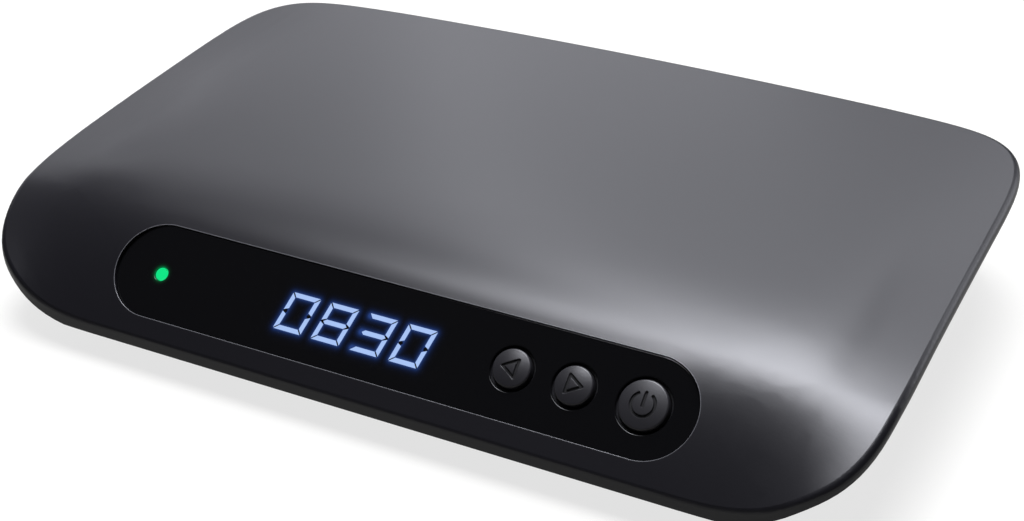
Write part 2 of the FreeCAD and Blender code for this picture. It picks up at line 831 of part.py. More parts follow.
def display_block(margin, z0, z1):
    """The digit display's outline, grown by a margin."""
    half_length = display_length / 2 + margin
    half_height = display_height / 2 + margin
    return box(digit_centre - half_length, digit_centre + half_length, digit_line - half_height,
               digit_line + half_height, z0, z1)


def segment(x, y, angle, length):
    """One bar of a digit, pointed at both ends, raised above the display's face."""
    half = length / 2
    thick = digit_stroke / 2
    outline = [(-half, 0), (-half + thick, thick), (half - thick, thick), (half, 0),
               (half - thick, -thick), (-half + thick, -thick), (-half, 0)]
    turn = math.radians(angle)
    slant = math.tan(math.radians(digit_slant))
    points = []
    for along, across in outline:
        dx = along * math.cos(turn) - across * math.sin(turn)
        dy = along * math.sin(turn) + across * math.cos(turn)
        points.append(Vector(x + dx + (y + dy) * slant, y + dy, 0))
    return Part.Face(Part.makePolygon(points)).extrude(Vector(0, 0, segment_depth))


def digit_segments():
    """The seven bars of one digit about its own centre."""
    wide = digit_width - digit_stroke
    tall = (digit_height - digit_stroke) / 2
    bars = [segment(0, level * tall, 0, wide - segment_gap) for level in (-1, 0, 1)]
    for side in (-1, 1):
        for level in (-0.5, 0.5):
            bars.append(segment(side * wide / 2, level * tall, 90, tall - segment_gap))
    return bars


def digit_display():
    """The four-digit module: a block whose face carries the bars of the digits."""
    block = display_block(0, front_board_face, display_face)
    bars = []
    for index in range(digit_count):
        along = (index - (digit_count - 1) / 2) * digit_pitch
        centre = Vector(digit_centre + along, digit_line, display_face)
        for bar in digit_segments():
            bar.translate(centre)
            bars.append(bar)
    return on_face(fused([block] + bars))


def front_board():
    """The board behind the face, parallel to it."""
    half = front_board_length / 2
    board = box(-half, half, -front_board_below, front_board_above, front_board_back, front_board_face)
    edges = [edge for edge in board.Edges if abs(edge.Length - board_thickness) < 1e-6]
    board = board.makeFillet(board_corner, edges)
    holes = [post(place, 0, front_board_back - cut_margin, front_board_face + cut_margin,
                  small_screw_radius + screw_gap)
             for place in front_screw_places]
    return on_face(carved(board, holes))


def status_led():
    """A light-emitting diode with a flanged round lens."""
    rim = post(light_place, light_line, front_board_face, front_board_face + led_rim_height,
               light_radius + led_rim)
    lens = post(light_place, light_line, front_board_face, led_top, light_radius)
    return on_face(fused([rim, lens]))


def light_guide():
    """The clear pin that carries the light to the window's face."""
    pin = post(light_place, light_line, led_top + guide_gap, -window_recess, light_radius)
    collar_top = -cover_wall - guide_collar_gap
    collar = post(light_place, light_line, collar_top - guide_collar_thickness, collar_top,
                  light_radius + guide_collar)
    return on_face(fused([pin, collar]))


def infrared_receiver():
    """The remote control's receiver: a small block with a round lens."""
    half = receiver_radius
    block_top = -cover_wall - receiver_drop
    body = box(receiver_place - half, receiver_place + half, -half, half, front_board_face, block_top)
    lens = post(receiver_place, 0, front_board_face, block_top + receiver_lens, half * receiver_lens_share)
    return on_face(fused([body, lens]))


# ------------------------------------------------------------------ screws
def screw(centre, axis, radius, head_radius, length):
    """A pan-head screw; centre is under its head and axis points from head to tip."""
    head = screw_head_height
    profile = [
        (0, -head),
        (head_radius, -head),
        (head_radius, 0),
        (radius, 0),
        (radius, length),
        (0, length),
    ]
    body = turned(profile, Vector(0, 0, 0), Vector(0, 0, 1))
    slot = head_radius * slot_share
    above = -head - cut_margin
    bottom = -head + slot_depth
    body = body.cut([box(-slot, slot, -slot_half_width, slot_half_width, above, bottom),
                     box(-slot_half_width, slot_half_width, -slot, slot, above, bottom)])
    body.Placement = Placement(centre, Rotation(Vector(0, 0, 1), axis))
    return body


def case_screws():
    """The four screws that come up through the tray into the lid."""
    up = Vector(0, 0, 1)
    seat = floor_height + head_recess
    return Part.makeCompound([
        screw(Vector(x, y, seat), up, screw_radius, screw_head_radius, case_screw_length)
        for x, y in case_posts()])


def main_board_screws():
    """The four screws that hold the main board down."""
    down = Vector(0, 0, -1)
    return Part.makeCompound([
        screw(Vector(x, y, board_top), down, small_screw_radius, small_head_radius, main_board_screw_length)
        for x, y in board_posts()])


def front_board_screws():
    """The screws that hold the front board to the lid."""
    screws = []
    for place in front_screw_places:
        screws.append(on_face(screw(Vector(place, 0, front_board_back), Vector(0, 0, 1),
                                    small_screw_radius, small_head_radius, front_board_screw_length)))
    return Part.makeCompound(screws)


# ------------------------------------------------------------------ main board and what it carries
def main_board():
    """The main circuit board with its four screw holes."""
    board = box(-board_half_width, board_half_width, board_front_y, board_rear_y, board_bottom, board_top)
    edges = [edge for edge in board.Edges if abs(edge.Length - board_thickness) < 1e-6]
    board = board.makeFillet(board_corner, edges)
    holes = [post(x, y, board_bottom - cut_margin, board_top + cut_margin, small_screw_radius + screw_gap)
             for x, y in board_posts()]
    return carved(board, holes)


def tuner_can():
    """The tuner's screening can, open towards the board, with holes in its roof."""
    x0 = PLACES["tuner"] - tuner_width / 2
    x1 = PLACES["tuner"] + tuner_width / 2
    y0 = tuner_rear_y - tuner_depth
    can = box(x0, x1, y0, tuner_rear_y, board_top, board_top + tuner_height)
    hollow = box(x0 + can_wall, x1 - can_wall, y0 + can_wall, tuner_rear_y - can_wall,
                 board_top - cut_margin, board_top + tuner_height - can_wall)
    cutters = [hollow]
    for x in (lnb_input_x, lnb_loop_x):
        cutters.append(rearward(x, coax_z, tuner_rear_y - 2 * cut_margin, tuner_rear_y + cut_margin,
                                coax_radius * tuner_bore_share))
        for row in tuner_hole_rows:
            cutters.append(post(x, y0 + tuner_depth * row, board_top + tuner_height - 2 * cut_margin,
                                board_top + tuner_height + cut_margin, tuner_hole_radius))
    return carved(can, cutters)


def coax_socket(x):
    """A threaded coaxial socket: a relief at the nut's face and a hollow for the plug's pin."""
    reach = panel_y + coax_reach - tuner_rear_y
    relief = panel_y + nut_thickness - tuner_rear_y
    profile = [
        (0, 0),
        (coax_radius, 0),
        (coax_radius, relief - relief_width / 2),
        (coax_radius - relief_depth, relief - relief_width / 2),
        (coax_radius - relief_depth, relief + relief_width / 2),
        (coax_radius, relief + relief_width / 2),
        (coax_radius, reach - coax_edge),
        (coax_radius - coax_edge, reach),
        (coax_radius - coax_rim, reach),
        (coax_radius - coax_rim, reach - coax_sink),
        (coax_pin_radius, reach - coax_sink),
        (coax_pin_radius, reach - coax_pin_depth),
        (0, reach - coax_pin_depth),
    ]
    return turned(profile, Vector(x, tuner_rear_y, coax_z), Vector(0, 1, 0))


def coax_nuts():
    """The hexagon nuts that clamp the coaxial sockets to the panel."""
    nuts = []
    corner_radius = nut_across / math.sqrt(3)
    for x in (lnb_input_x, lnb_loop_x):
        corners = []
        for index in range(7):
            turn = math.radians(60 * index)
            corners.append(Vector(x + corner_radius * math.cos(turn), panel_y,
                                  coax_z + corner_radius * math.sin(turn)))
        nut = Part.Face(Part.makePolygon(corners)).extrude(Vector(0, nut_thickness, 0))
        bore = rearward(x, coax_z, panel_y - cut_margin, panel_y + nut_thickness + cut_margin,
                        coax_radius + thread_gap)
        nuts.append(nut.cut(bore))
    return Part.makeCompound(nuts)


def folded_shell(x, width, height, depth, corner):
    """A sheet-metal socket shell, open at the rear, its lower corners cut off by corner."""
    y1 = panel_y + socket_proud

    def outline(inset):
        half = width / 2 - inset
        low = board_top + inset
        high = board_top + height - inset
        return [Vector(x - half, 0, high), Vector(x + half, 0, high), Vector(x + half, 0, low + corner),
                Vector(x + half - corner, 0, low), Vector(x - half + corner, 0, low),
                Vector(x - half, 0, low + corner), Vector(x - half, 0, high)]
    outer = Part.Face(Part.makePolygon(outline(0))).extrude(Vector(0, depth, 0))
    inner = Part.Face(Part.makePolygon(outline(shell_wall))).extrude(Vector(0, depth, 0))
    inner.translate(Vector(0, shell_wall, 0))
    shell = outer.cut(inner)
    shell.translate(Vector(0, y1 - depth, 0))
    return shell


def hdmi_socket():
    """The digital video socket: folded shell with a flat tongue."""
    shell = folded_shell(hdmi_x, hdmi_width, hdmi_height, hdmi_depth, hdmi_corner)
    middle = board_top + hdmi_height * hdmi_tongue_share
    width, thickness = hdmi_tongue
    root = panel_y + socket_proud - hdmi_depth + tongue_root
    tongue = box(hdmi_x - width / 2, hdmi_x + width / 2, root, panel_y - hdmi_tongue_sink,
                 middle - thickness / 2, middle + thickness / 2)
    return fused([shell, tongue])


def usb_socket():
    """The USB socket: folded shell with an upper tongue."""
    shell = folded_shell(usb_x, usb_width, usb_height, usb_depth, usb_corner)
    top = board_top + usb_height - usb_tongue_drop
    width, thickness = usb_tongue
    root = panel_y + socket_proud - usb_depth + tongue_root
    tongue = box(usb_x - width / 2, usb_x + width / 2, root, panel_y - usb_tongue_sink,
                 top - thickness, top)
    return fused([shell, tongue])


def network_socket():
    """The network socket: a moulded block with a stepped cavity."""
    half = network_width / 2
    y1 = panel_y + socket_proud
    block = box(network_x - half, network_x + half, y1 - network_depth, y1, board_top,
                board_top + network_height)
    cutters = []
    for width, bottom, top in (network_mouth, network_latch):
        cutters.append(box(network_x - width / 2, network_x + width / 2, y1 - network_cavity,
                           y1 + cut_margin, board_top + bottom, board_top + top))
    return carved(block, cutters)


def digital_audio_socket():
    """The phono socket: a moulded block and a round collar for the plug's sleeve."""
    half = phono_width / 2
    block = box(digital_audio_x - half, digital_audio_x + half, panel_inner_y - phono_width,
                panel_inner_y - block_gap, board_top, phono_z + half)
    root = panel_inner_y - block_gap - post_root
    barrel = rearward(digital_audio_x, phono_z, root, panel_y + phono_reach, phono_radius)
    flange = rearward(digital_audio_x, phono_z, root, panel_y + phono_flange_proud,
                      phono_radius + phono_flange)
    hole = rearward(digital_audio_x, phono_z, panel_inner_y - phono_width * phono_hole_share,
                    panel_y + phono_reach + cut_margin, phono_hole_radius)
    return carved(fused([block, barrel, flange]), [hole])


def av_jack():
    """The jack socket for the audio and video lead."""
    mouth = panel_y + socket_proud
    half = jack_width / 2
    block = box(av_x - half, av_x + half, mouth - jack_depth - jack_end_wall,
                panel_inner_y - block_gap, board_top, jack_z + half)
    root = panel_inner_y - block_gap - post_root
    collar = rearward(av_x, jack_z, root, mouth, jack_collar_radius)
    bore = rearward(av_x, jack_z, mouth - jack_depth, mouth + cut_margin, jack_radius)
    return carved(fused([block, collar]), [bore])


def power_jack():
    """The low-voltage power inlet with its centre pin."""
    half = power_width / 2
    y1 = panel_y + socket_proud
    z = board_top + barrel_centre
    block = box(power_x - half, power_x + half, y1 - power_depth, y1, board_top,
                board_top + power_height)
    well_bottom = y1 - barrel_depth
    well = rearward(power_x, z, well_bottom, y1 + cut_margin, barrel_radius)
    pin = rearward(power_x, z, well_bottom - barrel_pin_root, y1 - barrel_pin_short, barrel_pin_radius)
    return fused([carved(block, [well]), pin])


def card_reader():
    """The smart card reader: a flat body on the board with a slot towards the left wall."""
    x0 = -tray_half_width + tray_wall + card_reader_gap
    x1 = x0 + card_reader_length
    half = card_slot / 2 + card_reader_wall
    roof = card_z + card_reader_roof
    body = box(x0, x1, card_y - half, card_y + half, board_top, roof)
    under = box(x0 - cut_margin, card_reader_foot - board_half_width, card_y - half - cut_margin,
                card_y + half + cut_margin, board_top - cut_margin, board_top + card_reader_lift)
    slot = box(x0 - cut_margin, x1 - card_stop, card_y - card_slot / 2, card_y + card_slot / 2,
               card_z - card_half_thickness, card_z + card_half_thickness)
    left_margin, right_margin, width = card_window
    window = box(x0 + left_margin, x1 - right_margin, card_y - width / 2, card_y + width / 2, card_z,
                 roof + cut_margin)
    return carved(body, [under, slot, window])


def processor():
    """The main chip."""
    half = chip_size / 2
    return box(chip_place - half, chip_place + half, chip_y - half, chip_y + half, board_top,
               board_top + chip_height)


def heat_sink():
    """A finned block on the main chip."""
    half = heat_sink_size / 2
    z0 = board_top + chip_height
    left = chip_place - half
    shapes = [box(left, chip_place + half, chip_y - half, chip_y + half, z0, z0 + sink_base)]
    pitch = (heat_sink_size - fin_thickness) / (fin_count - 1)
    for index in range(fin_count):
        x = left + index * pitch
        shapes.append(box(x, x + fin_thickness, chip_y - half, chip_y + half, z0 + sink_base / 2,
                          z0 + heat_sink_height))
    return fused(shapes)


def memory_chips():
    """Two working-memory chips and one storage chip beside the processor."""
    x = chip_place + heat_sink_size / 2 + component_gap + memory_width / 2
    chips = []
    for side in (-1, 1):
        y = chip_y + side * memory_spacing / 2
        chips.append(box(x - memory_width / 2, x + memory_width / 2, y - memory_length / 2,
                         y + memory_length / 2, board_top, board_top + memory_height))
    x += memory_width / 2 + component_gap
    chips.append(box(x, x + storage_width, chip_y - storage_length / 2, chip_y + storage_length / 2,
                     board_top, board_top + memory_height))
    return Part.makeCompound(chips)


def capacitors():
    """The supply's round capacitors in front of the power inlet."""
    rear = panel_y - power_depth - can_clearance
    sizes = (
        (rear, large_can_radius, large_can_height),
        (rear - can_spacing, small_can_radius, small_can_height),
    )
    cans = [post(x, y, board_top, board_top + height, radius)
            for x in (power_x, power_x - can_spacing) for y, radius, height in sizes]
    return Part.makeCompound(cans)


# ------------------------------------------------------------------ ribbon between the boards
def front_header():
    """The white connector on the back of the front board."""
    half = header_length / 2
    return on_face(box(header_place - half, header_place + half, header_line - header_depth / 2,
                       header_line + header_depth / 2, front_board_back - header_depth, front_board_back))


def main_header():
    """The matching connector on the main board."""
    half = header_length / 2
    return box(header_place - half, header_place + half, header_y - header_depth / 2,
               header_y + header_depth / 2, board_top, board_top + header_height)


def ribbon_cable():
    """A flat ribbon: up out of one connector, over in one bend, down into the other."""
    half_header = header_depth / 2
    start = window_centre + up_face * (header_line + half_header)
    start = start + out_of_face * (front_board_back - half_header)
    straight = (header_y - start.y - ribbon_bend * (1 + up_face.z)) / up_face.y
    bend_start = start + up_face * straight
    centre = bend_start - out_of_face * ribbon_bend
    end = Vector(0, header_y, board_top + header_height)
    bend_end = Vector(0, header_y, centre.z)
    middle_turn = math.radians((90 + face_slope) / 2)
    middle = Vector(0, math.cos(middle_turn), math.sin(middle_turn))
    half = ribbon_thickness / 2
    rise = out_of_face * half
    right = Vector(0, half, 0)
    outer_middle = centre + middle * (ribbon_bend + half)
    inner_middle = centre + middle * (ribbon_bend - half)
    edges = [
        Part.makeLine(start + rise, bend_start + rise),
        Part.Arc(bend_start + rise, outer_middle, bend_end + right).toShape(),
        Part.makeLine(bend_end + right, end + right),
        Part.makeLine(end + right, end - right),
        Part.makeLine(end - right, bend_end - right),
        Part.Arc(bend_end - right, inner_middle, bend_start - rise).toShape(),
        Part.makeLine(bend_start - rise, start - rise),
        Part.makeLine(start - rise, start + rise),
    ]
    flat = Part.Face(Part.Wire(edges))
    flat.translate(Vector(header_place - ribbon_width / 2, 0, 0))
    return flat.extrude(Vector(ribbon_width, 0, 0))


# ------------------------------------------------------------------ all the nodes
def build():
    """Writes every node of the receiver."""
    os.makedirs("parts", exist_ok=True)
    save(top_cover(), "top_cover")
    save(bottom_case(), "bottom_case")
    save(rear_panel(), "rear_panel")
    save(front_window(), "front_window")
    for name, (place, radius, ring) in KEYS.items():
        save(on_face(key_body(place, radius)), name + "_button")
        save(on_face(switch_body(place)), name + "_switch")
        save(on_face(switch_plunger(place)), name + "_plunger")
    for name, (x, y) in foot_places().items():
        save(foot(x, y), name + "_foot")
    save(front_board(), "front_board")
    save(digit_display(), "digit_display")
    save(status_led(), "status_led")
    save(light_guide(), "light_guide")
    save(infrared_receiver(), "infrared_receiver")
    save(front_board_screws(), "front_board_screws")
    save(case_screws(), "case_screws")
    save(main_board(), "main_board")
    save(main_board_screws(), "main_board_screws")
    save(tuner_can(), "tuner_can")
    save(coax_socket(lnb_input_x), "lnb_input_socket")
    save(coax_socket(lnb_loop_x), "lnb_loop_socket")
    save(coax_nuts(), "coax_nuts")
    save(hdmi_socket(), "hdmi_socket")
    save(network_socket(), "network_socket")
    save(usb_socket(), "usb_socket")
    save(digital_audio_socket(), "digital_audio_socket")
    save(av_jack(), "av_jack")
    save(power_jack(), "power_jack")
    save(card_reader(), "card_reader")
    save(processor(), "processor")
    save(heat_sink(), "heat_sink")
    save(memory_chips(), "memory_chips")
    save(capacitors(), "capacitors")
    save(front_header(), "front_header")
    save(main_header(), "main_header")
    save(ribbon_cable(), "ribbon_cable")


build()
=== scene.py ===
"""Looks of a satellite television receiver, laid over its packed frame.

Lengths are metres. The front looks along -Y and the sockets along +Y.
"""
import json
import math

import bmesh
import bpy
import numpy as np
from bpy.props import FloatProperty, FloatVectorProperty, PointerProperty, StringProperty
from mathutils import Matrix, Vector
from mathutils.bvhtree import BVHTree


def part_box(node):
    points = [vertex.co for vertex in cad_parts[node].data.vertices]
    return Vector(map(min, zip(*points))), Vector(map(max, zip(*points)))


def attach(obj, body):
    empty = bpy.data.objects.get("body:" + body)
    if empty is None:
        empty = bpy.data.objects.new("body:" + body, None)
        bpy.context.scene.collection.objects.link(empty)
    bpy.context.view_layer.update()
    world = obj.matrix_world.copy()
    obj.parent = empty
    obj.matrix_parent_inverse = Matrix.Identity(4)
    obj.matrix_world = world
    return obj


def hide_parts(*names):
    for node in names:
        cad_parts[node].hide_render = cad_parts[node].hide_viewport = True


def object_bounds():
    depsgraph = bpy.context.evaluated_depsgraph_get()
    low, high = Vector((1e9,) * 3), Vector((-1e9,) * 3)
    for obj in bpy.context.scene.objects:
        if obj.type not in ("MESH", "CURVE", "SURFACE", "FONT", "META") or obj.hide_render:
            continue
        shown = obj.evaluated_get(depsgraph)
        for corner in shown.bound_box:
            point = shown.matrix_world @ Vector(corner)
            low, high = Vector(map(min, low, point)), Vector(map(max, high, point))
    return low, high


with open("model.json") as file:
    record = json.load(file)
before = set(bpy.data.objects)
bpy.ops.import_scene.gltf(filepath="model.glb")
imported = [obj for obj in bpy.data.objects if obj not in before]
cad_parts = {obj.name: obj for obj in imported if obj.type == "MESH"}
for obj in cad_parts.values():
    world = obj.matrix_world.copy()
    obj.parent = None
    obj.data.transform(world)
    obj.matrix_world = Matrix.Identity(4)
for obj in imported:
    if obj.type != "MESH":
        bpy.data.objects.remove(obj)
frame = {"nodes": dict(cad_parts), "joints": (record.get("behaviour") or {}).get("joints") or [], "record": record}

bl_info = {
    "name": "Satellite receiver looks",
    "version": (1, 0, 0),
    "blender": (4, 5, 0),
    "location": "View3D > Sidebar > Receiver",
    "description": "Dresses the packed receiver with its finishes, keys, display and studio",
    "category": "Object",
}

MM = 0.001
CAD_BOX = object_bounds()
RECORD = frame["record"]
NODES = frame["nodes"]
SLOTS = {part["node"]: part["material_slot"] for part in RECORD["subparts"]}
KEY_NAMES = ("left_arrow", "right_arrow", "power")

# The sloped face's own axes: across it, up it and straight out of it.
FACE_RIGHT = Vector((1, 0, 0))
FACE_OUT = -Vector(frame["joints"][0]["axis"]).normalized()
FACE_UP = FACE_OUT.cross(FACE_RIGHT).normalized()


# ---- measuring the frame
def reach(node, axis):
    """Lowest and highest place of a node along an axis."""
    places = [v.co.dot(axis) for v in NODES[node].data.vertices]
    return min(places), max(places)


def middle(node, axis):
    """Middle of a node along an axis."""
    low, high = reach(node, axis)
    return (low + high) / 2


def centre(node):
    """A node's middle across the sloped face and up it."""
    return middle(node, FACE_RIGHT), middle(node, FACE_UP)


def round_points(node, across, up):
    """(radius, height) of a node's points about a line straight out of the sloped face."""
    return [(math.hypot(v.co.dot(FACE_RIGHT) - across, v.co.dot(FACE_UP) - up),
             v.co.dot(FACE_OUT)) for v in NODES[node].data.vertices]


def face_point(across, up, out):
    """A place given along the sloped face's axes."""
    return FACE_RIGHT * across + FACE_UP * up + FACE_OUT * out


def face_matrix(across, up, out):
    """Axes of a piece that is modelled flat and stands on the sloped face."""
    turn = Matrix((FACE_RIGHT, FACE_UP, FACE_OUT)).transposed().to_4x4()
    return Matrix.Translation(face_point(across, up, out)) @ turn


WINDOW_ACROSS = reach("front_window", FACE_RIGHT)
WINDOW_UP = reach("front_window", FACE_UP)
WINDOW_OUT = reach("front_window", FACE_OUT)
WINDOW_LINE = (WINDOW_UP[0] + WINDOW_UP[1]) / 2


# ---- settings a user can change
def size_of(name, description, default, high=1.0):
    """A length property."""
    return FloatProperty(name=name, description=description, default=default, min=0.0, max=high,
                         subtype="DISTANCE", unit="LENGTH", precision=5)


def colour_of(name, description, default):
    """A colour property, linear."""
    return FloatVectorProperty(name=name, description=description, default=default,
                               min=0.0, max=1.0, size=3, subtype="COLOR")


def sizes_of(name, description, default):
    """Three lengths in one property."""
    return FloatVectorProperty(name=name, description=description, default=default, size=3,
                               subtype="TRANSLATION", unit="LENGTH", precision=5)


def angle_of(name, description, degrees):
    """An angle property."""
    return FloatProperty(name=name, description=description, default=math.radians(degrees),
                         subtype="ANGLE", unit="ROTATION")


def share_of(name, description, default):
    """A share between nothing and all."""
    return FloatProperty(name=name, description=description, default=default, min=0.0, max=1.0)


class CasingLook(bpy.types.PropertyGroup):
    """Colours and grain of the mouldings."""
    cover: colour_of("Cover", "Dark grey of the top cover", (0.0090, 0.0087, 0.0110))
    tray: colour_of("Tray", "Black of the bottom case", (0.014, 0.014, 0.015))
    panel: colour_of("Panel", "Black paint of the rear panel", (0.012, 0.012, 0.013))
    rubber: colour_of("Feet", "Black of the rubber feet", (0.016, 0.016, 0.016))
    grain: size_of("Grain", "Size of the moulded grain", 0.35 * MM)


class FrontLook(bpy.types.PropertyGroup):
    """Window, display and keys."""
    window: colour_of("Window", "Smoked acrylic", (0.004, 0.004, 0.0045))
    window_edge: size_of("Window edge", "Rounding of the window's edge", 0.3 * MM)
    pocket_gap: size_of("Pocket gap", "Dark line between the window and the cover", 0.1 * MM)
    edge_bead: size_of("Edge bead", "Radius of the pocket's rounded edge", 0.1 * MM)
    # painted highlight: the pocket's edge is given a light grey, far lighter than the cover, so that it shows as a
    # bright line round the window
    edge_highlight_tone: colour_of("Edge tone", "Polished grey of that edge", (0.12, 0.12, 0.13))
    key: colour_of("Keys", "Dark grey of the keys", (0.016, 0.0155, 0.018))
    key_edge: size_of("Key edge", "Rounding of a key's rim", 0.55 * MM)
    groove: size_of("Groove", "Width of the line sunk into a key", 0.6 * MM)
    groove_depth: size_of("Groove depth", "Depth of that line", 0.4 * MM)
    arrow: size_of("Arrow", "Length of an arrow key's triangle", 3.2 * MM)
    power_ring: size_of("Power ring", "Radius of the power sign's ring", 2.6 * MM)
    digits: colour_of("Digits", "Light of the display", (0.40, 0.56, 0.93))
    digit_height: size_of("Digit height", "Height of a digit", 9.05 * MM)
    digit_width: size_of("Digit width", "Width of a digit", 7.2 * MM)
    digit_pitch: size_of("Digit pitch", "Digit to digit", 9.87 * MM)
    digit_stroke: size_of("Digit stroke", "Width of a lit bar", 1.05 * MM)
    digit_slant: angle_of("Digit slant", "Lean of the digits", 11.0)
    reading: StringProperty(name="Reading", description="What the display shows", default="0830")
    status: colour_of("Status light", "Light of the small lamp", (0.005, 0.80, 0.24))
    bar_gap: size_of("Bar gap", "Dark line between two bars", 0.2 * MM)
    halo: size_of("Halo", "How far the display's light spreads under the window", 0.42 * MM)
    halo_tone: colour_of("Halo colour", "Light that spreads round the digits", (0.017, 0.048, 0.20))


class SocketLook(bpy.types.PropertyGroup):
    """Sockets and fasteners."""
    plating: colour_of("Plating", "Nickel of the coaxial sockets", (0.62, 0.60, 0.56))
    shell: colour_of("Shells", "Tinned steel of the folded sockets", (0.58, 0.58, 0.57))
    contact: colour_of("Contacts", "Gold flash of the contacts", (0.80, 0.58, 0.24))
    digital: colour_of("Digital audio", "Orange of the digital audio socket", (0.72, 0.20, 0.02))
    thread: size_of("Thread", "Pitch of the coaxial thread", 0.79 * MM)
    hdmi_tongue: sizes_of("Video tongue", "Half width, bottom and top",
                          (6.25 * MM, 2.80 * MM, 4.02 * MM))
    usb_tongue: sizes_of("USB tongue", "Half width, bottom and top",
                         (5.55 * MM, 3.55 * MM, 5.25 * MM))
    wire_pitch: size_of("Wire pitch", "Network contact to network contact", 1.02 * MM)
    wire_width: size_of("Wire width", "Width of a network contact", 0.45 * MM)


class StudioLook(bpy.types.PropertyGroup):
    """Camera, floor and lights."""
    eye: sizes_of("Eye", "Camera place", (0.1772, -0.3408, 0.2332))
    lens: FloatProperty(name="Lens", description="Focal length on a 36 mm sensor",
                        default=63.88, min=1.0)
    azimuth: angle_of("Azimuth", "Camera's turn to the right", 27.626)
    elevation: angle_of("Elevation", "Camera's height angle", 30.511)
    roll: angle_of("Roll", "Camera's lean", -0.673)
    floor: colour_of("Floor", "Pale floor", (0.84, 0.83, 0.76))
    floor_drop: size_of("Floor drop", "Gap that keeps the feet and the floor apart", 0.01 * MM)
    floor_glow: share_of("Floor glow", "How much of the floor shows as plain white", 0.75)
    floor_clear: size_of("Floor clear", "How far out the floor starts to turn white", 0.18)
    floor_fade: size_of("Floor fade", "Distance over which it does so", 0.3)
    floor_bounce: share_of("Floor bounce", "Light that the floor throws on the receiver", 0.3)
    lamp: colour_of("Lamps", "Colour of the softboxes", (0.92, 0.93, 1.0))
    ambient: share_of("Ambient", "Even light from all round", 0.02)
    softbox_width: size_of("Softbox width", "Width of each lamp", 0.7, 5.0)
    softbox_height: size_of("Softbox height", "Height of each lamp", 0.5, 5.0)
    softbox_distance: size_of("Softbox distance", "Lamp to receiver", 1.3, 9.0)


# ---- shader maths
class Value:
    """A shader socket that takes part in sums."""

    def __init__(self, nodes, socket):
        self.nodes = nodes
        self.socket = socket

    def maths(self, operation, first, second=0.0, clamp=False):
        """One Math node."""
        return self.nodes.node("ShaderNodeMath", {"operation": operation, "use_clamp": clamp},
                               {0: first, 1: second})

    def __add__(self, other):
        return self.maths("ADD", self, other)

    __radd__ = __add__

    def __sub__(self, other):
        return self.maths("SUBTRACT", self, other)

    def __rsub__(self, other):
        return self.maths("SUBTRACT", other, self)

    def __mul__(self, other):
        return self.maths("MULTIPLY", self, other)

    __rmul__ = __mul__

    def __gt__(self, other):
        return self.maths("GREATER_THAN", self, other)

    def __lt__(self, other):
        return self.maths("LESS_THAN", self, other)

    def wave(self, pitch):
        """0..1 and back over each pitch of a length."""
        return self.maths("SINE", self * (2 * math.pi / pitch)) * 0.5 + 0.5

    def limited(self):
        """Kept within 0..1."""
        return self.maths("ADD", self, 0.0, clamp=True)


class Nodes:
    """The nodes of a material or of the world."""

    def __init__(self, owner, output):
        owner.use_nodes = True
        self.tree = owner.node_tree
        self.tree.nodes.clear()
        self.output = self.tree.nodes.new(output)

    def node(self, kind, settings=None, sockets=None, output=0):
        """Any node: its settings first, then the values or links of its sockets."""
        made = self.tree.nodes.new(kind)
        for name, value in (settings or {}).items():
            setattr(made, name, value)
        for name, value in (sockets or {}).items():
            self.feed(made.inputs[name], value)
        return Value(self, made.outputs[output])

    def feed(self, socket, value):
        """Links a value to a socket or sets it."""
        if isinstance(value, Value):
            self.tree.links.new(value.socket, socket)
        else:
            socket.default_value = value

    def show(self, surface):
        """Makes one shader the result."""
        self.feed(self.output.inputs["Surface"], surface)


class Finish(Nodes):
    """A material and the nodes that make it."""

    def __init__(self, name, base, roughness, **constants):
        self.material = bpy.data.materials.new(name)
        super().__init__(self.material, "ShaderNodeOutputMaterial")
        self.surface = self.node("ShaderNodeBsdfPrincipled")
        self.show(self.surface)
        self.put("Base Color", (*base, 1.0))
        self.put("Roughness", roughness)
        for socket, value in constants.items():
            self.put(socket.replace("_", " "), value)

    def put(self, socket, value):
        """Sets or links one of the shader's own sockets."""
        self.feed(self.surface.socket.node.inputs[socket], value)

    def place(self):
        """The surface's place in the frame, in metres."""
        return self.node("ShaderNodeTexCoord", output="Object")

    def along(self, axis):
        """The place along X, Y or Z."""
        return self.node("ShaderNodeSeparateXYZ", None, {0: self.place()}, output=axis)

    def noise(self, size, detail=2.0, stretch=(1, 1, 1)):
        """Soft random values with features of about one size, drawn out along the axes."""
        at = self.vector("MULTIPLY", self.place(), tuple(1.0 / (size * s) for s in stretch))
        return self.node("ShaderNodeTexNoise", None, {"Vector": at, "Scale": 1.0, "Detail": detail})

    def cells(self, size):
        """Cell pattern of one size."""
        return self.node("ShaderNodeTexVoronoi", None,
                         {"Vector": self.place(), "Scale": 1.0 / size}, output="Distance")

    def vector(self, operation, first, second):
        """One Vector Math node."""
        return self.node("ShaderNodeVectorMath", {"operation": operation}, {0: first, 1: second})

    def length(self, vector):
        """How long a vector is."""
        return self.node("ShaderNodeVectorMath", {"operation": "LENGTH"}, {0: vector},
                         output="Value")

    def from_axis(self, x, z):
        """The distance from a line along Y."""
        at = self.vector("SUBTRACT", self.place(), (x, 0, z))
        return self.length(self.vector("MULTIPLY", at, (1, 0, 1)))

    def tint(self, factor, first, second):
        """Mixes two colours, given or worked out, by a factor."""
        first, second = (c if isinstance(c, Value) else (*c, 1.0) for c in (first, second))
        return self.node("ShaderNodeMix", {"data_type": "RGBA"},
                         {0: factor, 6: first, 7: second}, output=2)

    def mottled(self, factor, colour, dark, light):
        """A colour that wavers between two shares of itself."""
        return self.tint(factor, scaled(colour, dark), scaled(colour, light))

    def relief(self, height, depth):
        """Raises the surface by height, 0..1, times depth in metres."""
        self.put("Normal", self.node("ShaderNodeBump", None, {"Height": height, "Distance": depth}))


def scaled(colour, factor):
    """A colour made lighter or darker."""
    return tuple(min(1.0, channel * factor) for channel in colour)


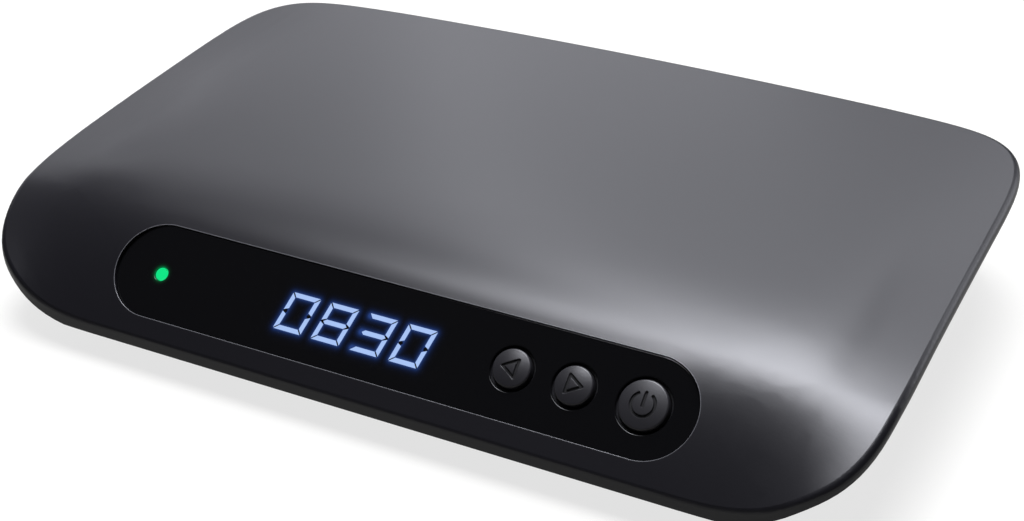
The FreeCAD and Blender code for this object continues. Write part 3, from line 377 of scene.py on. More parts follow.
# ---- finishes
BLACK = (0.012, 0.012, 0.012)
DRAWN_LINE = 0.4 * MM
WINDOW_SHEEN = 0.2      # specular level of the window's coated acrylic, 0.5 for plain acrylic


def moulded(name, colour, roughness, grain, depth):
    """Grained plastic: fine sparked grain, faint flow marks and slightly uneven sheen."""
    made = Finish(name, colour, roughness)
    flow = made.noise(60 * MM, 2.0, (1.0, 2.5, 1.0))
    fine = made.noise(grain, 3.0)
    pits = made.cells(grain * 1.7)
    made.put("Base Color", made.mottled(flow * 0.7 + fine * 0.3, colour, 0.9, 1.1))
    made.put("Roughness", flow * 0.05 + fine * 0.05 + (roughness - 0.05))
    made.relief(fine * 0.6 + pits * 0.4, depth)
    return made.material


def keyed(name, colour, roughness, grain, depth):
    """Grained plastic that is duller where a sign is sunk, with painted shade that darkens the sunk sign."""
    made = Finish(name, colour, roughness)
    fine = made.noise(grain, 3.0)
    sunk = made.node("ShaderNodeAttribute", {"attribute_name": "sunk"}, output="Fac")
    plain = made.mottled(fine, colour, 0.9, 1.1)
    # painted shade: where the sign is sunk the colour drops to a fifth, standing in for the shade in the groove
    made.put("Base Color", made.tint(sunk, plain, scaled(colour, 0.2)))
    made.put("Roughness", fine * 0.05 + sunk * 0.5 + (roughness - 0.02))
    made.relief(fine, depth)
    return made.material


def painted(name, colour, roughness, grain, depth):
    """Sprayed paint with a fine orange peel."""
    made = Finish(name, colour, roughness)
    peel = made.noise(grain, 1.0)
    made.put("Roughness", peel * 0.08 + (roughness - 0.04))
    made.relief(peel, depth)
    return made.material


def gloss(name, colour, roughness=0.04, **constants):
    """Polished plastic with a trace of haze."""
    made = Finish(name, colour, roughness, **constants)
    haze = made.noise(25 * MM, 3.0)
    made.put("Roughness", haze * 0.03 + roughness)
    return made.material


def metal(name, colour, roughness, drawn=(1, 1, 1)):
    """Bare or plated metal with fine lines, drawn out along the axes."""
    made = Finish(name, colour, roughness, Metallic=1.0)
    lines = made.noise(DRAWN_LINE, 3.0, drawn)
    stain = made.noise(9 * MM, 2.0)
    made.put("Base Color", made.mottled(stain, colour, 0.86, 1.05))
    made.put("Roughness", lines * 0.16 + stain * 0.06 + (roughness - 0.1))
    made.relief(lines, 0.01 * MM)
    return made.material


def threaded(name, colour, pitch, start, node):
    """A plated socket, threaded on its outside from a place along Y, with a white core."""
    low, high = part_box(node)
    made = Finish(name, colour, 0.26)
    y = made.along("Y")
    from_axis = made.from_axis((low.x + high.x) / 2, (low.z + high.z) / 2)
    radius = (high.x - low.x) / 2
    wall, lead_in, skin = 1.25 * MM, 0.5 * MM, 0.1 * MM
    metal_part = from_axis > radius - wall
    on_thread = (y > start) * (y < high.y - lead_in) * (from_axis > radius - skin)
    stain = made.noise(3 * MM, 2.0)
    core = (0.7, 0.7, 0.67)
    made.put("Base Color", made.tint(metal_part, core, made.mottled(stain, colour, 0.8, 1.08)))
    made.put("Metallic", metal_part)
    made.put("Roughness", stain * 0.15 + 0.18)
    made.relief(y.wave(pitch) * on_thread, 0.35 * MM)
    return made.material


def circuit_board(name, mask, copper):
    """Solder mask over copper runs, with vias."""
    made = Finish(name, mask, 0.38, Coat_Weight=0.3, Coat_Roughness=0.2)
    runs = made.noise(7 * MM, 1.0, (3.0, 0.4, 1.0)).wave(0.11) > 0.72
    more = made.noise(5 * MM, 1.0, (0.4, 3.0, 1.0)).wave(0.13) > 0.78
    vias = made.cells(4.5 * MM) < 0.09
    pattern = (runs + more).limited()
    made.put("Base Color", made.tint((pattern * 0.8 + vias).limited(), mask, copper))
    made.relief((pattern + vias * 0.5).limited(), 0.04 * MM)
    return made.material


def lit(name, colour):
    """A glowing surface."""
    made = Finish(name, scaled(colour, 0.02), 0.2, Emission_Strength=1.0)
    made.put("Emission Color", made.mottled(made.noise(2 * MM, 1.0), colour, 0.93, 1.0))
    return made.material


def haloed(name, base, colour):
    """Light that spreads through the window's gloss, clear where none reaches."""
    made = Finish(name, base, 0.05, Emission_Strength=1.0, Specular_IOR_Level=WINDOW_SHEEN)
    made.put("Emission Color", made.mottled(made.noise(1.2 * MM, 1.0), colour, 0.95, 1.0))
    made.put("Alpha", made.node("ShaderNodeAttribute", {"attribute_name": "glow"}, output="Fac"))
    return made.material


def two_part(name, mask_of, plastic, plating):
    """Plastic and bare metal in one surface, parted by a mask worked out from the place."""
    made = Finish(name, plastic, 0.35)
    mask = mask_of(made)
    wear = made.noise(1.5 * MM, 2.0)
    made.put("Base Color", made.tint(mask, plastic, plating))
    made.put("Metallic", mask)
    made.put("Roughness", wear * 0.12 + mask * -0.08 + 0.3)
    made.relief(wear, 0.01 * MM)
    return made.material


def tongued(name, node, tongue, pitch, look):
    """A folded steel shell round a dark tongue with a row of gilt contacts."""
    low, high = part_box(node)
    across = (low.x + high.x) / 2
    half_width, bottom, top = tongue
    made = Finish(name, look.shell, 0.3)
    x, z = made.along("X"), made.along("Z")
    on_tongue = (x > across - half_width) * (x < across + half_width)
    on_tongue = on_tongue * (z > low.z + bottom) * (z < low.z + top)
    contact = on_tongue * ((x - across).wave(pitch) > 0.5)
    drawn = made.noise(DRAWN_LINE, 3.0, (8.0, 1.0, 1.0))
    plain = made.tint(on_tongue, made.mottled(drawn, look.shell, 0.85, 1.05), BLACK)
    made.put("Base Color", made.tint(contact, plain, look.contact))
    made.put("Metallic", contact - on_tongue + 1.0)
    made.put("Roughness", drawn * 0.15 + 0.22)
    made.relief(drawn, 0.01 * MM)
    return made.material


def ringed(name, node, plastic, plating, inner, outer, start):
    """Moulding with a plated part between two radii, beyond a place along Y."""
    low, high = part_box(node)

    def mask(made):
        radius = made.from_axis((low.x + high.x) / 2, (low.z + high.z) / 2)
        return (radius > inner) * (radius < outer) * (made.along("Y") > start)
    return two_part(name, mask, plastic, plating)


def topped(name, sleeve, top):
    """A dark sleeve round a can whose upward face is bare metal."""
    def mask(made):
        normal = made.node("ShaderNodeNewGeometry", output="Normal")
        return made.node("ShaderNodeSeparateXYZ", None, {0: normal}, output="Z") > 0.9
    return two_part(name, mask, sleeve, top)


def slot_finish(slot):
    """The material of one of the record's slots."""
    casing = bpy.context.scene.receiver_casing
    front = bpy.context.scene.receiver_front
    rear = bpy.context.scene.receiver_sockets
    name = slot + "_finish"
    # Colour, roughness, grain as a share of the casing's, and relief in millimetres.
    mouldings = {
        "cover_plastic": (casing.cover, 0.30, 1.0, 0.006),
        "tray_plastic": (casing.tray, 0.5, 1.3, 0.05),
        "switch_plastic": (BLACK, 0.5, 1.0, 0.02),
        "plunger_plastic": ((0.55, 0.52, 0.44), 0.4, 1.0, 0.01),
        "foot_rubber": (casing.rubber, 0.85, 1.5, 0.06),
        "display_block": ((0.02, 0.02, 0.022), 0.5, 1.0, 0.02),
        "socket_plastic": (BLACK, 0.32, 0.7, 0.01),
        "phono_plastic": (rear.digital, 0.3, 0.7, 0.01),
        "reader_plastic": (BLACK, 0.4, 1.0, 0.02),
        "chip_epoxy": ((0.010, 0.010, 0.010), 0.45, 0.5, 0.02),
        "header_plastic": ((0.66, 0.63, 0.55), 0.45, 1.0, 0.01),
    }
    # Colour, roughness, and how far the drawn lines stretch along X, Y and Z.
    metals = {
        "screw_steel": ((0.42, 0.42, 0.41), 0.35, (1, 1, 1)),
        "can_steel": ((0.55, 0.55, 0.54), 0.36, (1, 8, 1)),
        "socket_nickel": (rear.plating, 0.28, (1, 1, 1)),
        "shell_steel": (rear.shell, 0.3, (8, 1, 1)),
        "sink_aluminium": ((0.50, 0.50, 0.51), 0.4, (1, 10, 1)),
    }
    others = {
        "panel_metal": lambda: painted(name, casing.panel, 0.42, casing.grain, 0.02 * MM),
        "window_gloss": lambda: gloss(name, front.window, Specular_IOR_Level=WINDOW_SHEEN),
        "key_plastic": lambda: keyed(name, front.key, 0.36, casing.grain * 0.6, 0.01 * MM),
        "board_green": lambda: circuit_board(name, (0.010, 0.075, 0.022), (0.035, 0.17, 0.05)),
        "light_clear": lambda: gloss(name, (0.25, 0.5, 0.33), 0.1),
        "receiver_dark": lambda: gloss(name, (0.02, 0.006, 0.01), 0.08),
        "capacitor_sleeve": lambda: topped(name, (0.010, 0.012, 0.030), (0.50, 0.50, 0.50)),
        "ribbon_sleeve": lambda: ribbon_finish(name),
    }
    made = bpy.data.materials.get(name)
    if made:
        return made
    if slot in mouldings:
        colour, roughness, share, depth = mouldings[slot]
        return moulded(name, colour, roughness, casing.grain * share, depth * MM)
    if slot in metals:
        return metal(name, *metals[slot])
    if slot in others:
        return others[slot]()
    raise ValueError("no finish is written for slot " + slot)


def ribbon_finish(name):
    """Grey insulation moulded over a row of conductors, with painted shade: darker in the grooves between them and
    lighter on their crests.
    """
    made = Finish(name, (0.30, 0.30, 0.32), 0.45)
    ridges = made.along("X").wave(1.27 * MM)
    # painted shade: the colour follows the ridges, darker in the grooves and lighter on the crests
    made.put("Base Color", made.tint(ridges, (0.22, 0.22, 0.24), (0.34, 0.34, 0.36)))
    made.relief(ridges, 0.15 * MM)
    return made.material


# ---- building pieces
def finished(piece, material, slot, body, *nodes):
    """Gives a piece its material and its body, and hides the nodes that it stands for. The slot is not used."""
    piece.data.materials.clear()
    piece.data.materials.append(material)
    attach(piece, body)
    if nodes:
        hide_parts(*nodes)


def dress(node, material=None):
    """Gives a node of the frame a material, or the finish of its slot."""
    piece = NODES[node]
    piece.data.materials.clear()
    piece.data.materials.append(material or slot_finish(SLOTS[node]))


def linked(name, mesh, matrix=None):
    """A new object in the scene."""
    piece = bpy.data.objects.new(name, mesh)
    bpy.context.scene.collection.objects.link(piece)
    if matrix is not None:
        mesh.transform(matrix)
    return piece


def smooth_by_angle(mesh, degrees=35.0):
    """Smooth shading that keeps real edges."""
    for polygon in mesh.polygons:
        polygon.use_smooth = True
    mesh.set_sharp_from_angle(angle=math.radians(degrees))


def mesh_of(name, bm):
    """Turns a bmesh into a mesh."""
    bmesh.ops.recalc_face_normals(bm, faces=bm.faces)
    mesh = bpy.data.meshes.new(name)
    bm.to_mesh(mesh)
    bm.free()
    return mesh


def turned(bm, profile, count):
    """Rings of points from (radius, height) pairs, joined by faces."""
    before = None
    for radius, height in profile:
        if radius == 0:
            ring = [bm.verts.new((0, 0, height))]
        else:
            ring = [bm.verts.new((x, y, height)) for x, y in circle(0, 0, radius, count)]
        if before:
            join_rings(bm, before, ring)
        before = ring


def join_rings(bm, first, second):
    """Faces between two rings; either may be a single point."""
    count = max(len(first), len(second))
    for i in range(count):
        j = (i + 1) % count
        corners = []
        for ring, places in ((first, (i, j)), (second, (j, i))):
            if len(ring) == 1:
                corners.append(ring[0])
            else:
                corners.extend(ring[place] for place in places)
        bm.faces.new(corners)


def flat_outline(curve, points):
    """Adds one closed run of straight pieces to a flat curve."""
    spline = curve.splines.new("POLY")
    spline.points.add(len(points) - 1)
    for point, (x, y) in zip(spline.points, points):
        point.co = (x, y, 0, 1)
    spline.use_cyclic_u = True


def wire(bm, x, path, width, thickness):
    """A flat wire at one place across the casing, bent through (y, z) points."""
    before = None
    for y, z in path:
        ring = [bm.verts.new((x + side * width / 2, y, z + rise * thickness / 2))
                for side, rise in ((-1, -1), (1, -1), (1, 1), (-1, 1))]
        if before:
            join_rings(bm, before, ring)
        else:
            bm.faces.new(ring)
        before = ring
    bm.faces.new(before[::-1])


def circle(x, y, radius, count=96):
    """Points round a circle."""
    turns = [2 * math.pi * i / count for i in range(count)]
    return [(x + radius * math.cos(turn), y + radius * math.sin(turn)) for turn in turns]


def slot_outline(half_length, half_height, count=72):
    """Points round a long shape with round ends."""
    flat = half_length - half_height
    turns = [math.pi * i / count for i in range(count + 1)]
    right = [(flat + half_height * math.sin(turn), -half_height * math.cos(turn)) for turn in turns]
    return right + [(-x, -y) for x, y in right]


def plate_with_holes(name, outlines, thickness, edge):
    """A flat plate with holes and softly rounded edges."""
    curve = bpy.data.curves.new(name, "CURVE")
    curve.dimensions = "2D"
    curve.fill_mode = "BOTH"
    for outline in outlines:
        flat_outline(curve, outline)
    curve.offset = -edge
    curve.extrude = thickness / 2 - edge
    curve.bevel_depth = edge
    curve.bevel_resolution = 4
    holder = linked(name + "_outline", curve)
    bpy.context.view_layer.update()
    solid = holder.evaluated_get(bpy.context.evaluated_depsgraph_get())
    mesh = bpy.data.meshes.new_from_object(solid)
    bpy.data.objects.remove(holder)
    bpy.data.curves.remove(curve)
    return mesh


def point_places(mesh):
    """The places of a mesh's points, one row each."""
    places = np.empty(len(mesh.vertices) * 3)
    mesh.vertices.foreach_get("co", places)
    return places.reshape(-1, 3)


def mark_points(mesh, name, values):
    """Keeps one value for each point, for the finish to read."""
    mesh.attributes.new(name, "FLOAT", "POINT").data.foreach_set("value", values)


def weighted(piece):
    """Lets large flat faces keep their shading beside rounded edges."""
    made = piece.modifiers.new("flat_faces", "WEIGHTED_NORMAL")
    made.keep_sharp = True
    return piece


def bead_round(bm, path, radius, count=8):
    """A closed round bead that follows a path of points on the sloped face."""
    before, first = None, None
    for i, here in enumerate(path):
        run = (path[(i + 1) % len(path)] - path[i - 1]).normalized()
        side = run.cross(FACE_OUT).normalized()
        ring = [bm.verts.new(here + side * x + FACE_OUT * y)
                for x, y in circle(0, 0, radius, count)]
        if before:
            join_rings(bm, before, ring)
        first = first or ring
        before = ring
    join_rings(bm, before, first)


# ---- keys
ARROW_AHEAD, ARROW_BEHIND = 0.61, 0.39      # an arrow's tip and base, as shares of its length
POWER_GAP = math.radians(38)                # half of the gap in the power sign's ring
POWER_BAR = (-0.15, 0.96)                   # ends of its bar, as shares of the ring's radius
KEY_SIDES, CROWN_RINGS, RIM_RINGS = 288, 64, 6
ROUND_SIDES = 64                            # other round pieces
GROOVE_BLEND = 0.3                          # a groove's sloping sides, as a share of its width
AT_LEVEL = 0.05 * MM                        # points this close lie on one level
AT_RADIUS = 0.98                            # points beyond this share lie on a radius


def segment_distance(px, py, ax, ay, bx, by):
    """Distance from points to one straight stroke."""
    dx, dy = bx - ax, by - ay
    t = np.clip(((px - ax) * dx + (py - ay) * dy) / (dx * dx + dy * dy), 0, 1)
    return np.hypot(px - ax - t * dx, py - ay - t * dy)


def arrow_distance(px, py, length, side):
    """Distance to the outline of a triangle that points to one side."""
    ahead = length * ARROW_AHEAD
    tip = (side * ahead, 0.0)
    upper = (-side * length * ARROW_BEHIND, ahead)
    lower = (-side * length * ARROW_BEHIND, -ahead)
    runs = ((tip, upper), (upper, lower), (lower, tip))
    return np.min([segment_distance(px, py, *a, *b) for a, b in runs], axis=0)


def power_distance(px, py, radius):
    """Distance to an open ring with a bar in its gap."""
    turn = np.arctan2(px, py)
    ring = np.abs(np.hypot(px, py) - radius)
    end_x, end_y = radius * math.sin(POWER_GAP), radius * math.cos(POWER_GAP)
    ends = np.hypot(np.abs(px) - end_x, py - end_y)
    ring = np.where(np.abs(turn) < POWER_GAP, ends, ring)
    low, high = (end * radius for end in POWER_BAR)
    return np.minimum(ring, segment_distance(px, py, 0.0, low, 0.0, high))


def key_profile(node):
    """Sizes of a key, measured on its node: centre, cap radius, rim, top, flange and stem."""
    across, up = centre(node)
    points = round_points(node, across, up)
    cap = max(radius for radius, out in points if out > WINDOW_OUT[1])
    flange = max(radius for radius, out in points)
    stem_low = min(out for radius, out in points)
    return {
        "across": across,
        "up": up,
        "cap": cap,
        "flange": flange,
        "rim": max(out for radius, out in points if radius > AT_RADIUS * cap),
        "top": max(out for radius, out in points),
        "flange_low": min(out for radius, out in points if radius > AT_RADIUS * flange),
        "flange_high": max(out for radius, out in points if radius > AT_RADIUS * flange),
        "stem": max(radius for radius, out in points if out < stem_low + AT_LEVEL),
        "stem_low": stem_low,
    }


def key_mesh(name, key, sign_distance, look):
    """A whole key: stem, flange, guide and a domed cap with its sign sunk in."""
    rounded = look.key_edge
    crown = key["top"] - key["rim"]
    profile = [
        (0, key["stem_low"]),
        (key["stem"], key["stem_low"]),
        (key["stem"], key["flange_low"]),
        (key["flange"], key["flange_low"]),
        (key["flange"], key["flange_high"]),
        (key["cap"], key["flange_high"]),
    ]
    for i in range(RIM_RINGS + 1):
        turn = math.radians(90 * i / RIM_RINGS)
        profile.append((key["cap"] - rounded * (1 - math.cos(turn)),
                        key["rim"] - rounded * (1 - math.sin(turn))))
    inner = key["cap"] - rounded
    for i in range(1, CROWN_RINGS):
        radius = inner * (1 - i / CROWN_RINGS)
        profile.append((radius, key["rim"] + crown * (1 - (radius / inner) ** 2)))
    profile.append((0, key["top"]))
    bm = bmesh.new()
    turned(bm, profile, KEY_SIDES)
    mesh = mesh_of(name, bm)
    places = point_places(mesh)
    level_slack = 1e-7
    on_top = places[:, 2] > key["rim"] - level_slack
    on_top &= np.hypot(places[:, 0], places[:, 1]) < inner
    distance = sign_distance(places[:, 0], places[:, 1])
    soft = look.groove * GROOVE_BLEND
    sunk = np.where(on_top, np.clip((look.groove / 2 + soft / 2 - distance) / soft, 0, 1), 0)
    sunk = sunk * sunk * (3 - 2 * sunk)
    places[:, 2] -= look.groove_depth * sunk
    mesh.vertices.foreach_set("co", places.ravel())
    mark_points(mesh, "sunk", sunk)
    mesh.update()
    smooth_by_angle(mesh, 50.0)
    return mesh


# ---- display
GLOW_LIFT = 0.01 * MM       # glow above the window
DIGIT_LIFT = 0.015 * MM     # lit bars above the window
BAR_THICKNESS = 0.02 * MM
GLOW_STEP = 0.15 * MM       # grid of the display's glow
LIT_BARS = {
    "0": "abcdef", "1": "bc", "2": "abged", "3": "abgcd", "4": "fgbc", "5": "afgcd", "6": "afgedc",
    "7": "abc", "8": "abcdefg", "9": "abcdfg",
}


def upright_bar(side, level, half, tall, stroke, gap):
    """Corners of one upright bar, mitred at the digit's corner and cut to a point at its middle."""
    return [(side * half, level * (tall - gap)), (side * half, level * gap),
            (side * (half - stroke), level * (stroke / 2 + gap)),
            (side * (half - stroke), level * (tall - stroke - gap))]


def bar_shapes(look):
    """Corners of each of a digit's seven bars, before the digit leans."""
    half, tall = look.digit_width / 2, look.digit_height / 2
    stroke, gap = look.digit_stroke, look.bar_gap
    inner = half - stroke - gap
    top = [(-half + gap, tall), (half - gap, tall), (inner, tall - stroke), (-inner, tall - stroke)]
    thick = stroke / 2
    tip = half - thick - gap / 2
    shapes = {
        "a": top,
        "d": [(x, -y) for x, y in top],
        "g": [(-tip, 0), (-inner, thick), (inner, thick),
              (tip, 0), (inner, -thick), (-inner, -thick)],
    }
    for name, side, level in (("b", 1, 1), ("c", 1, -1), ("e", -1, -1), ("f", -1, 1)):
        shapes[name] = upright_bar(side, level, half, tall, stroke, gap)
    return shapes


def bar_outline(look, name):
    """Corners of one lit bar about its digit's centre, leaning."""
    slant = math.tan(look.digit_slant)
    return [(x + y * slant, y) for x, y in bar_shapes(look)[name]]


def bar_strokes(look, places):
    """Middle lines of all the lit bars, as end points."""
    strokes = []
    slant = math.tan(look.digit_slant)
    across = (look.digit_width - look.digit_stroke) / 2
    up = (look.digit_height - look.digit_stroke) / 2
    ends = {
        "a": ((-across, up), (across, up)), "g": ((-across, 0), (across, 0)),
        "d": ((-across, -up), (across, -up)),
        "b": ((across, 0), (across, up)), "c": ((across, -up), (across, 0)),
        "e": ((-across, -up), (-across, 0)), "f": ((-across, 0), (-across, up)),
    }
    for digit, x0 in zip(look.reading, places):
        for name in LIT_BARS[digit]:
            strokes.append([(x0 + x + y * slant, y) for x, y in ends[name]])
    return strokes


def glow_plate(name, half_width, half_height, glow_of):
    """A flat grid that carries how strongly light spreads at each point."""
    columns = int(2 * half_width / GLOW_STEP) + 1
    rows = int(2 * half_height / GLOW_STEP) + 1
    bm = bmesh.new()
    bmesh.ops.create_grid(bm, x_segments=columns, y_segments=rows, size=0.5)
    bmesh.ops.scale(bm, vec=(2 * half_width, 2 * half_height, 1), verts=bm.verts)
    mesh = bpy.data.meshes.new(name)
    bm.to_mesh(mesh)
    bm.free()
    places = point_places(mesh)
    mark_points(mesh, "glow", glow_of(places[:, 0], places[:, 1]))
    return mesh


# ---- operators: pieces
RAY_START = 0.1         # height over the frame's origin from which the cover's face is found


class RECEIVER_OT_casing(bpy.types.Operator):
    """Finishes the top cover, the bottom case, the rear panel, the feet and the screws"""
    bl_idname = "receiver.casing"
    bl_label = "Casing"

    def execute(self, context):
        for node in ("top_cover", "bottom_case", "rear_panel", "case_screws", "front_left_foot",
                     "front_right_foot", "rear_left_foot", "rear_right_foot"):
            dress(node)
        return {"FINISHED"}


class RECEIVER_OT_window(bpy.types.Operator):
    """Builds the glossy window with rounded edges round its outline and its holes"""
    bl_idname = "receiver.window"
    bl_label = "Window"

    def execute(self, context):
        look = context.scene.receiver_front
        half_length = (WINDOW_ACROSS[1] - WINDOW_ACROSS[0]) / 2
        half_height = (WINDOW_UP[1] - WINDOW_UP[0]) / 2
        outlines = [slot_outline(half_length, half_height)]
        for node in [name + "_button" for name in KEY_NAMES] + ["light_guide"]:
            across, up = centre(node)
            radius = min(round_points("front_window", across, up))[0]
            outlines.append(circle(across, up - WINDOW_LINE, radius))
        thickness = WINDOW_OUT[1] - WINDOW_OUT[0]
        mesh = plate_with_holes("window_strip", outlines, thickness, look.window_edge)
        smooth_by_angle(mesh)
        out = (WINDOW_OUT[0] + WINDOW_OUT[1]) / 2
        piece = weighted(linked("window_strip", mesh, face_matrix(0, WINDOW_LINE, out)))
        finished(piece, slot_finish("window_gloss"), "window_gloss", "case", "front_window")
        cover = BVHTree.FromObject(NODES["top_cover"], context.evaluated_depsgraph_get())
        path = []
        wider, higher = 1 + look.edge_bead / half_length, 1 + look.edge_bead / half_height
        for across, up in slot_outline(half_length + look.pocket_gap,
                                       half_height + look.pocket_gap, count=48):
            start = face_point(across * wider, WINDOW_LINE + up * higher, RAY_START)
            level = cover.ray_cast(start, -FACE_OUT)[0].dot(FACE_OUT)
            path.append(face_point(across, WINDOW_LINE + up, level - look.edge_bead / 2))
        bm = bmesh.new()
        bead_round(bm, path, look.edge_bead)
        bead = mesh_of("pocket_edge", bm)
        smooth_by_angle(bead, 80.0)
        # painted highlight: the bead's light grey stands in for the bright line that the light draws along the
        # window's rim
        edge = gloss("pocket_edge_finish", look.edge_highlight_tone, 0.22)
        finished(linked("pocket_edge", bead), edge, "cover_plastic", "case")
        return {"FINISHED"}


class RECEIVER_OT_display(bpy.types.Operator):
    """Builds the lit digits and the light that spreads round them"""
    bl_idname = "receiver.display"
    bl_label = "Display"

    def execute(self, context):
        look = context.scene.receiver_front
        dress("digit_display")
        across, up = centre("digit_display")
        count = len(look.reading)
        places = [(i - (count - 1) / 2) * look.digit_pitch for i in range(count)]
        strokes = bar_strokes(look, places)

        def glow(px, py):
            beyond = np.array([segment_distance(px, py, *a, *b) for a, b in strokes])
            beyond -= look.digit_stroke / 2
            between_bars = np.sum(beyond < 0, axis=0) > 1
            nearest = np.maximum(np.min(beyond, axis=0), 0)
            return np.where(between_bars, 0, np.exp(-nearest / look.halo))
        side_margin, edge_margin = 4 * MM, 2.5 * MM
        half_width = look.digit_pitch * count / 2 + side_margin
        half_height = WINDOW_UP[1] - WINDOW_LINE - edge_margin - abs(up - WINDOW_LINE)
        plate = linked("display_glow", glow_plate("display_glow", half_width, half_height, glow),
                       face_matrix(across, up, WINDOW_OUT[1] + GLOW_LIFT))
        finished(plate, haloed("display_halo", look.window, look.halo_tone), "window_gloss", "case")
        material = lit("digit_light", look.digits)
        for number, (digit, x0) in enumerate(zip(look.reading, places), 1):
            bm = bmesh.new()
            for name in LIT_BARS[digit]:
                corners = [bm.verts.new((x0 + x, y, 0)) for x, y in bar_outline(look, name)]
                face = bm.faces.new(corners)
                raised = bmesh.ops.extrude_face_region(bm, geom=[face])
                upper = [g for g in raised["geom"] if isinstance(g, bmesh.types.BMVert)]
                bmesh.ops.translate(bm, vec=(0, 0, BAR_THICKNESS), verts=upper)
            mesh = mesh_of("digit_%d" % number, bm)
            piece = linked("digit_%d" % number, mesh,
                           face_matrix(across, up, WINDOW_OUT[1] + DIGIT_LIFT))
            finished(piece, material, "display_block", "case")
        return {"FINISHED"}


class RECEIVER_OT_status_light(bpy.types.Operator):
    """Builds the small green lamp and its glow"""
    bl_idname = "receiver.status_light"
    bl_label = "Status light"

    def execute(self, context):
        look = context.scene.receiver_front
        dress("status_led")
        across, up = centre("light_guide")
        low, high = reach("light_guide", FACE_OUT)
        points = round_points("light_guide", across, up)
        pin = max(radius for radius, out in points if out > high - AT_LEVEL)
        collar = max(radius for radius, out in points)
        collar_low = min(out for radius, out in points if radius > AT_RADIUS * collar)
        collar_high = max(out for radius, out in points if radius > AT_RADIUS * collar)
        rounded_end = [(pin, high - 0.15 * MM), (pin - 0.12 * MM, high),
                       (pin * 0.6, high + 0.03 * MM), (0, high + 0.05 * MM)]
        profile = [(0, low), (pin, low), (pin, collar_low), (collar, collar_low),
                   (collar, collar_high), (pin, collar_high), *rounded_end]
        bm = bmesh.new()
        turned(bm, profile, ROUND_SIDES)
        mesh = mesh_of("status_lens", bm)
        smooth_by_angle(mesh)
        piece = linked("status_lens", mesh, face_matrix(across, up, 0))
        finished(piece, lit("status_light", look.status), "light_clear", "case", "light_guide")

        first, step, count = pin + 0.05 * MM, 0.1 * MM, 24
        bm = bmesh.new()
        turned(bm, [(first + step * i, 0) for i in range(count)], ROUND_SIDES)
        mesh = mesh_of("status_glow", bm)
        if mesh.polygons[0].normal.z < 0:
            mesh.flip_normals()
        spread, strength = 0.25 * MM, 0.25
        beyond = np.hypot(*point_places(mesh)[:, :2].T) - pin
        mark_points(mesh, "glow", np.exp(-beyond / spread) * strength)
        plate = linked("status_glow", mesh, face_matrix(across, up, WINDOW_OUT[1] + GLOW_LIFT))
        finished(plate, haloed("status_halo", look.window, look.status), "window_gloss", "case")
        return {"FINISHED"}


class RECEIVER_OT_keys(bpy.types.Operator):
    """Builds the three domed keys with their sunk signs, and finishes the switches under them"""
    bl_idname = "receiver.keys"
    bl_label = "Keys"

    def execute(self, context):
        look = context.scene.receiver_front
        signs = {
            "left_arrow": lambda x, y: arrow_distance(x, y, look.arrow, -1),
            "right_arrow": lambda x, y: arrow_distance(x, y, look.arrow, 1),
            "power": lambda x, y: power_distance(x, y, look.power_ring),
        }
        for name in KEY_NAMES:
            key = key_profile(name + "_button")
            mesh = key_mesh(name + "_key_cap", key, signs[name], look)
            piece = linked(name + "_key_cap", mesh, face_matrix(key["across"], key["up"], 0))
            finished(piece, slot_finish("key_plastic"), "key_plastic", name + "_key",
                     name + "_button")
            dress(name + "_switch")
            dress(name + "_plunger")
        return {"FINISHED"}


class RECEIVER_OT_sockets(bpy.types.Operator):
    """Finishes the sockets of the rear panel and adds the network socket's contacts"""
    bl_idname = "receiver.sockets"
    bl_label = "Sockets"

    def execute(self, context):
        look = context.scene.receiver_sockets
        panel_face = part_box("rear_panel")[1].y
        for node in ("coax_nuts", "network_socket", "tuner_can"):
            dress(node)
        for node in ("lnb_input_socket", "lnb_loop_socket"):
            dress(node, threaded(node + "_metal", look.plating, look.thread, panel_face, node))
        bm = bmesh.new()
        low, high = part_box("network_socket")
        count, thickness = 8, 0.25 * MM
        # Each wire runs level behind the mouth and then dips towards the board.
        roof = high.z - 3.3 * MM
        path = ((high.y - 1.5 * MM, roof), (high.y - 2.8 * MM, roof),
                (high.y - 10.0 * MM, roof - 2.2 * MM))
        for i in range(count):
            x = (low.x + high.x) / 2 + (i - (count - 1) / 2) * look.wire_pitch
            wire(bm, x, path, look.wire_width, thickness)
        wires = linked("network_contacts", mesh_of("network_contacts", bm))
        finished(wires, metal("contact_gilt", look.contact, 0.25), "socket_nickel", "case")
        for node, name, tongue, pitch in (
                ("hdmi_socket", "hdmi_metal", look.hdmi_tongue, 1.0 * MM),
                ("usb_socket", "usb_metal", look.usb_tongue, 2.5 * MM)):
            dress(node, tongued(name, node, tongue, pitch, look))
        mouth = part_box("av_jack")[1].y
        # Each socket's plating lies between two radii, beyond a place along Y.
        for node, name, plastic, inner, outer, start in (
                ("digital_audio_socket", "digital_audio", look.digital, 3.2 * MM, 1.0,
                 panel_face + 0.7 * MM),
                ("av_jack", "av_contact", BLACK, 0.0, 2.5 * MM, mouth - 0.1 * MM),
                ("power_jack", "power_contact", BLACK, 0.0, 1.05 * MM, 0.0)):
            dress(node, ringed(name, node, plastic, look.plating, inner, outer, start))
        return {"FINISHED"}


class RECEIVER_OT_electronics(bpy.types.Operator):
    """Finishes the boards and what they carry"""
    bl_idname = "receiver.electronics"
    bl_label = "Electronics"

    def execute(self, context):
        for node in ("front_board", "main_board", "infrared_receiver", "front_board_screws",
                     "main_board_screws", "card_reader", "processor", "heat_sink", "memory_chips",
                     "capacitors", "front_header", "main_header", "ribbon_cable"):
            dress(node)
        return {"FINISHED"}


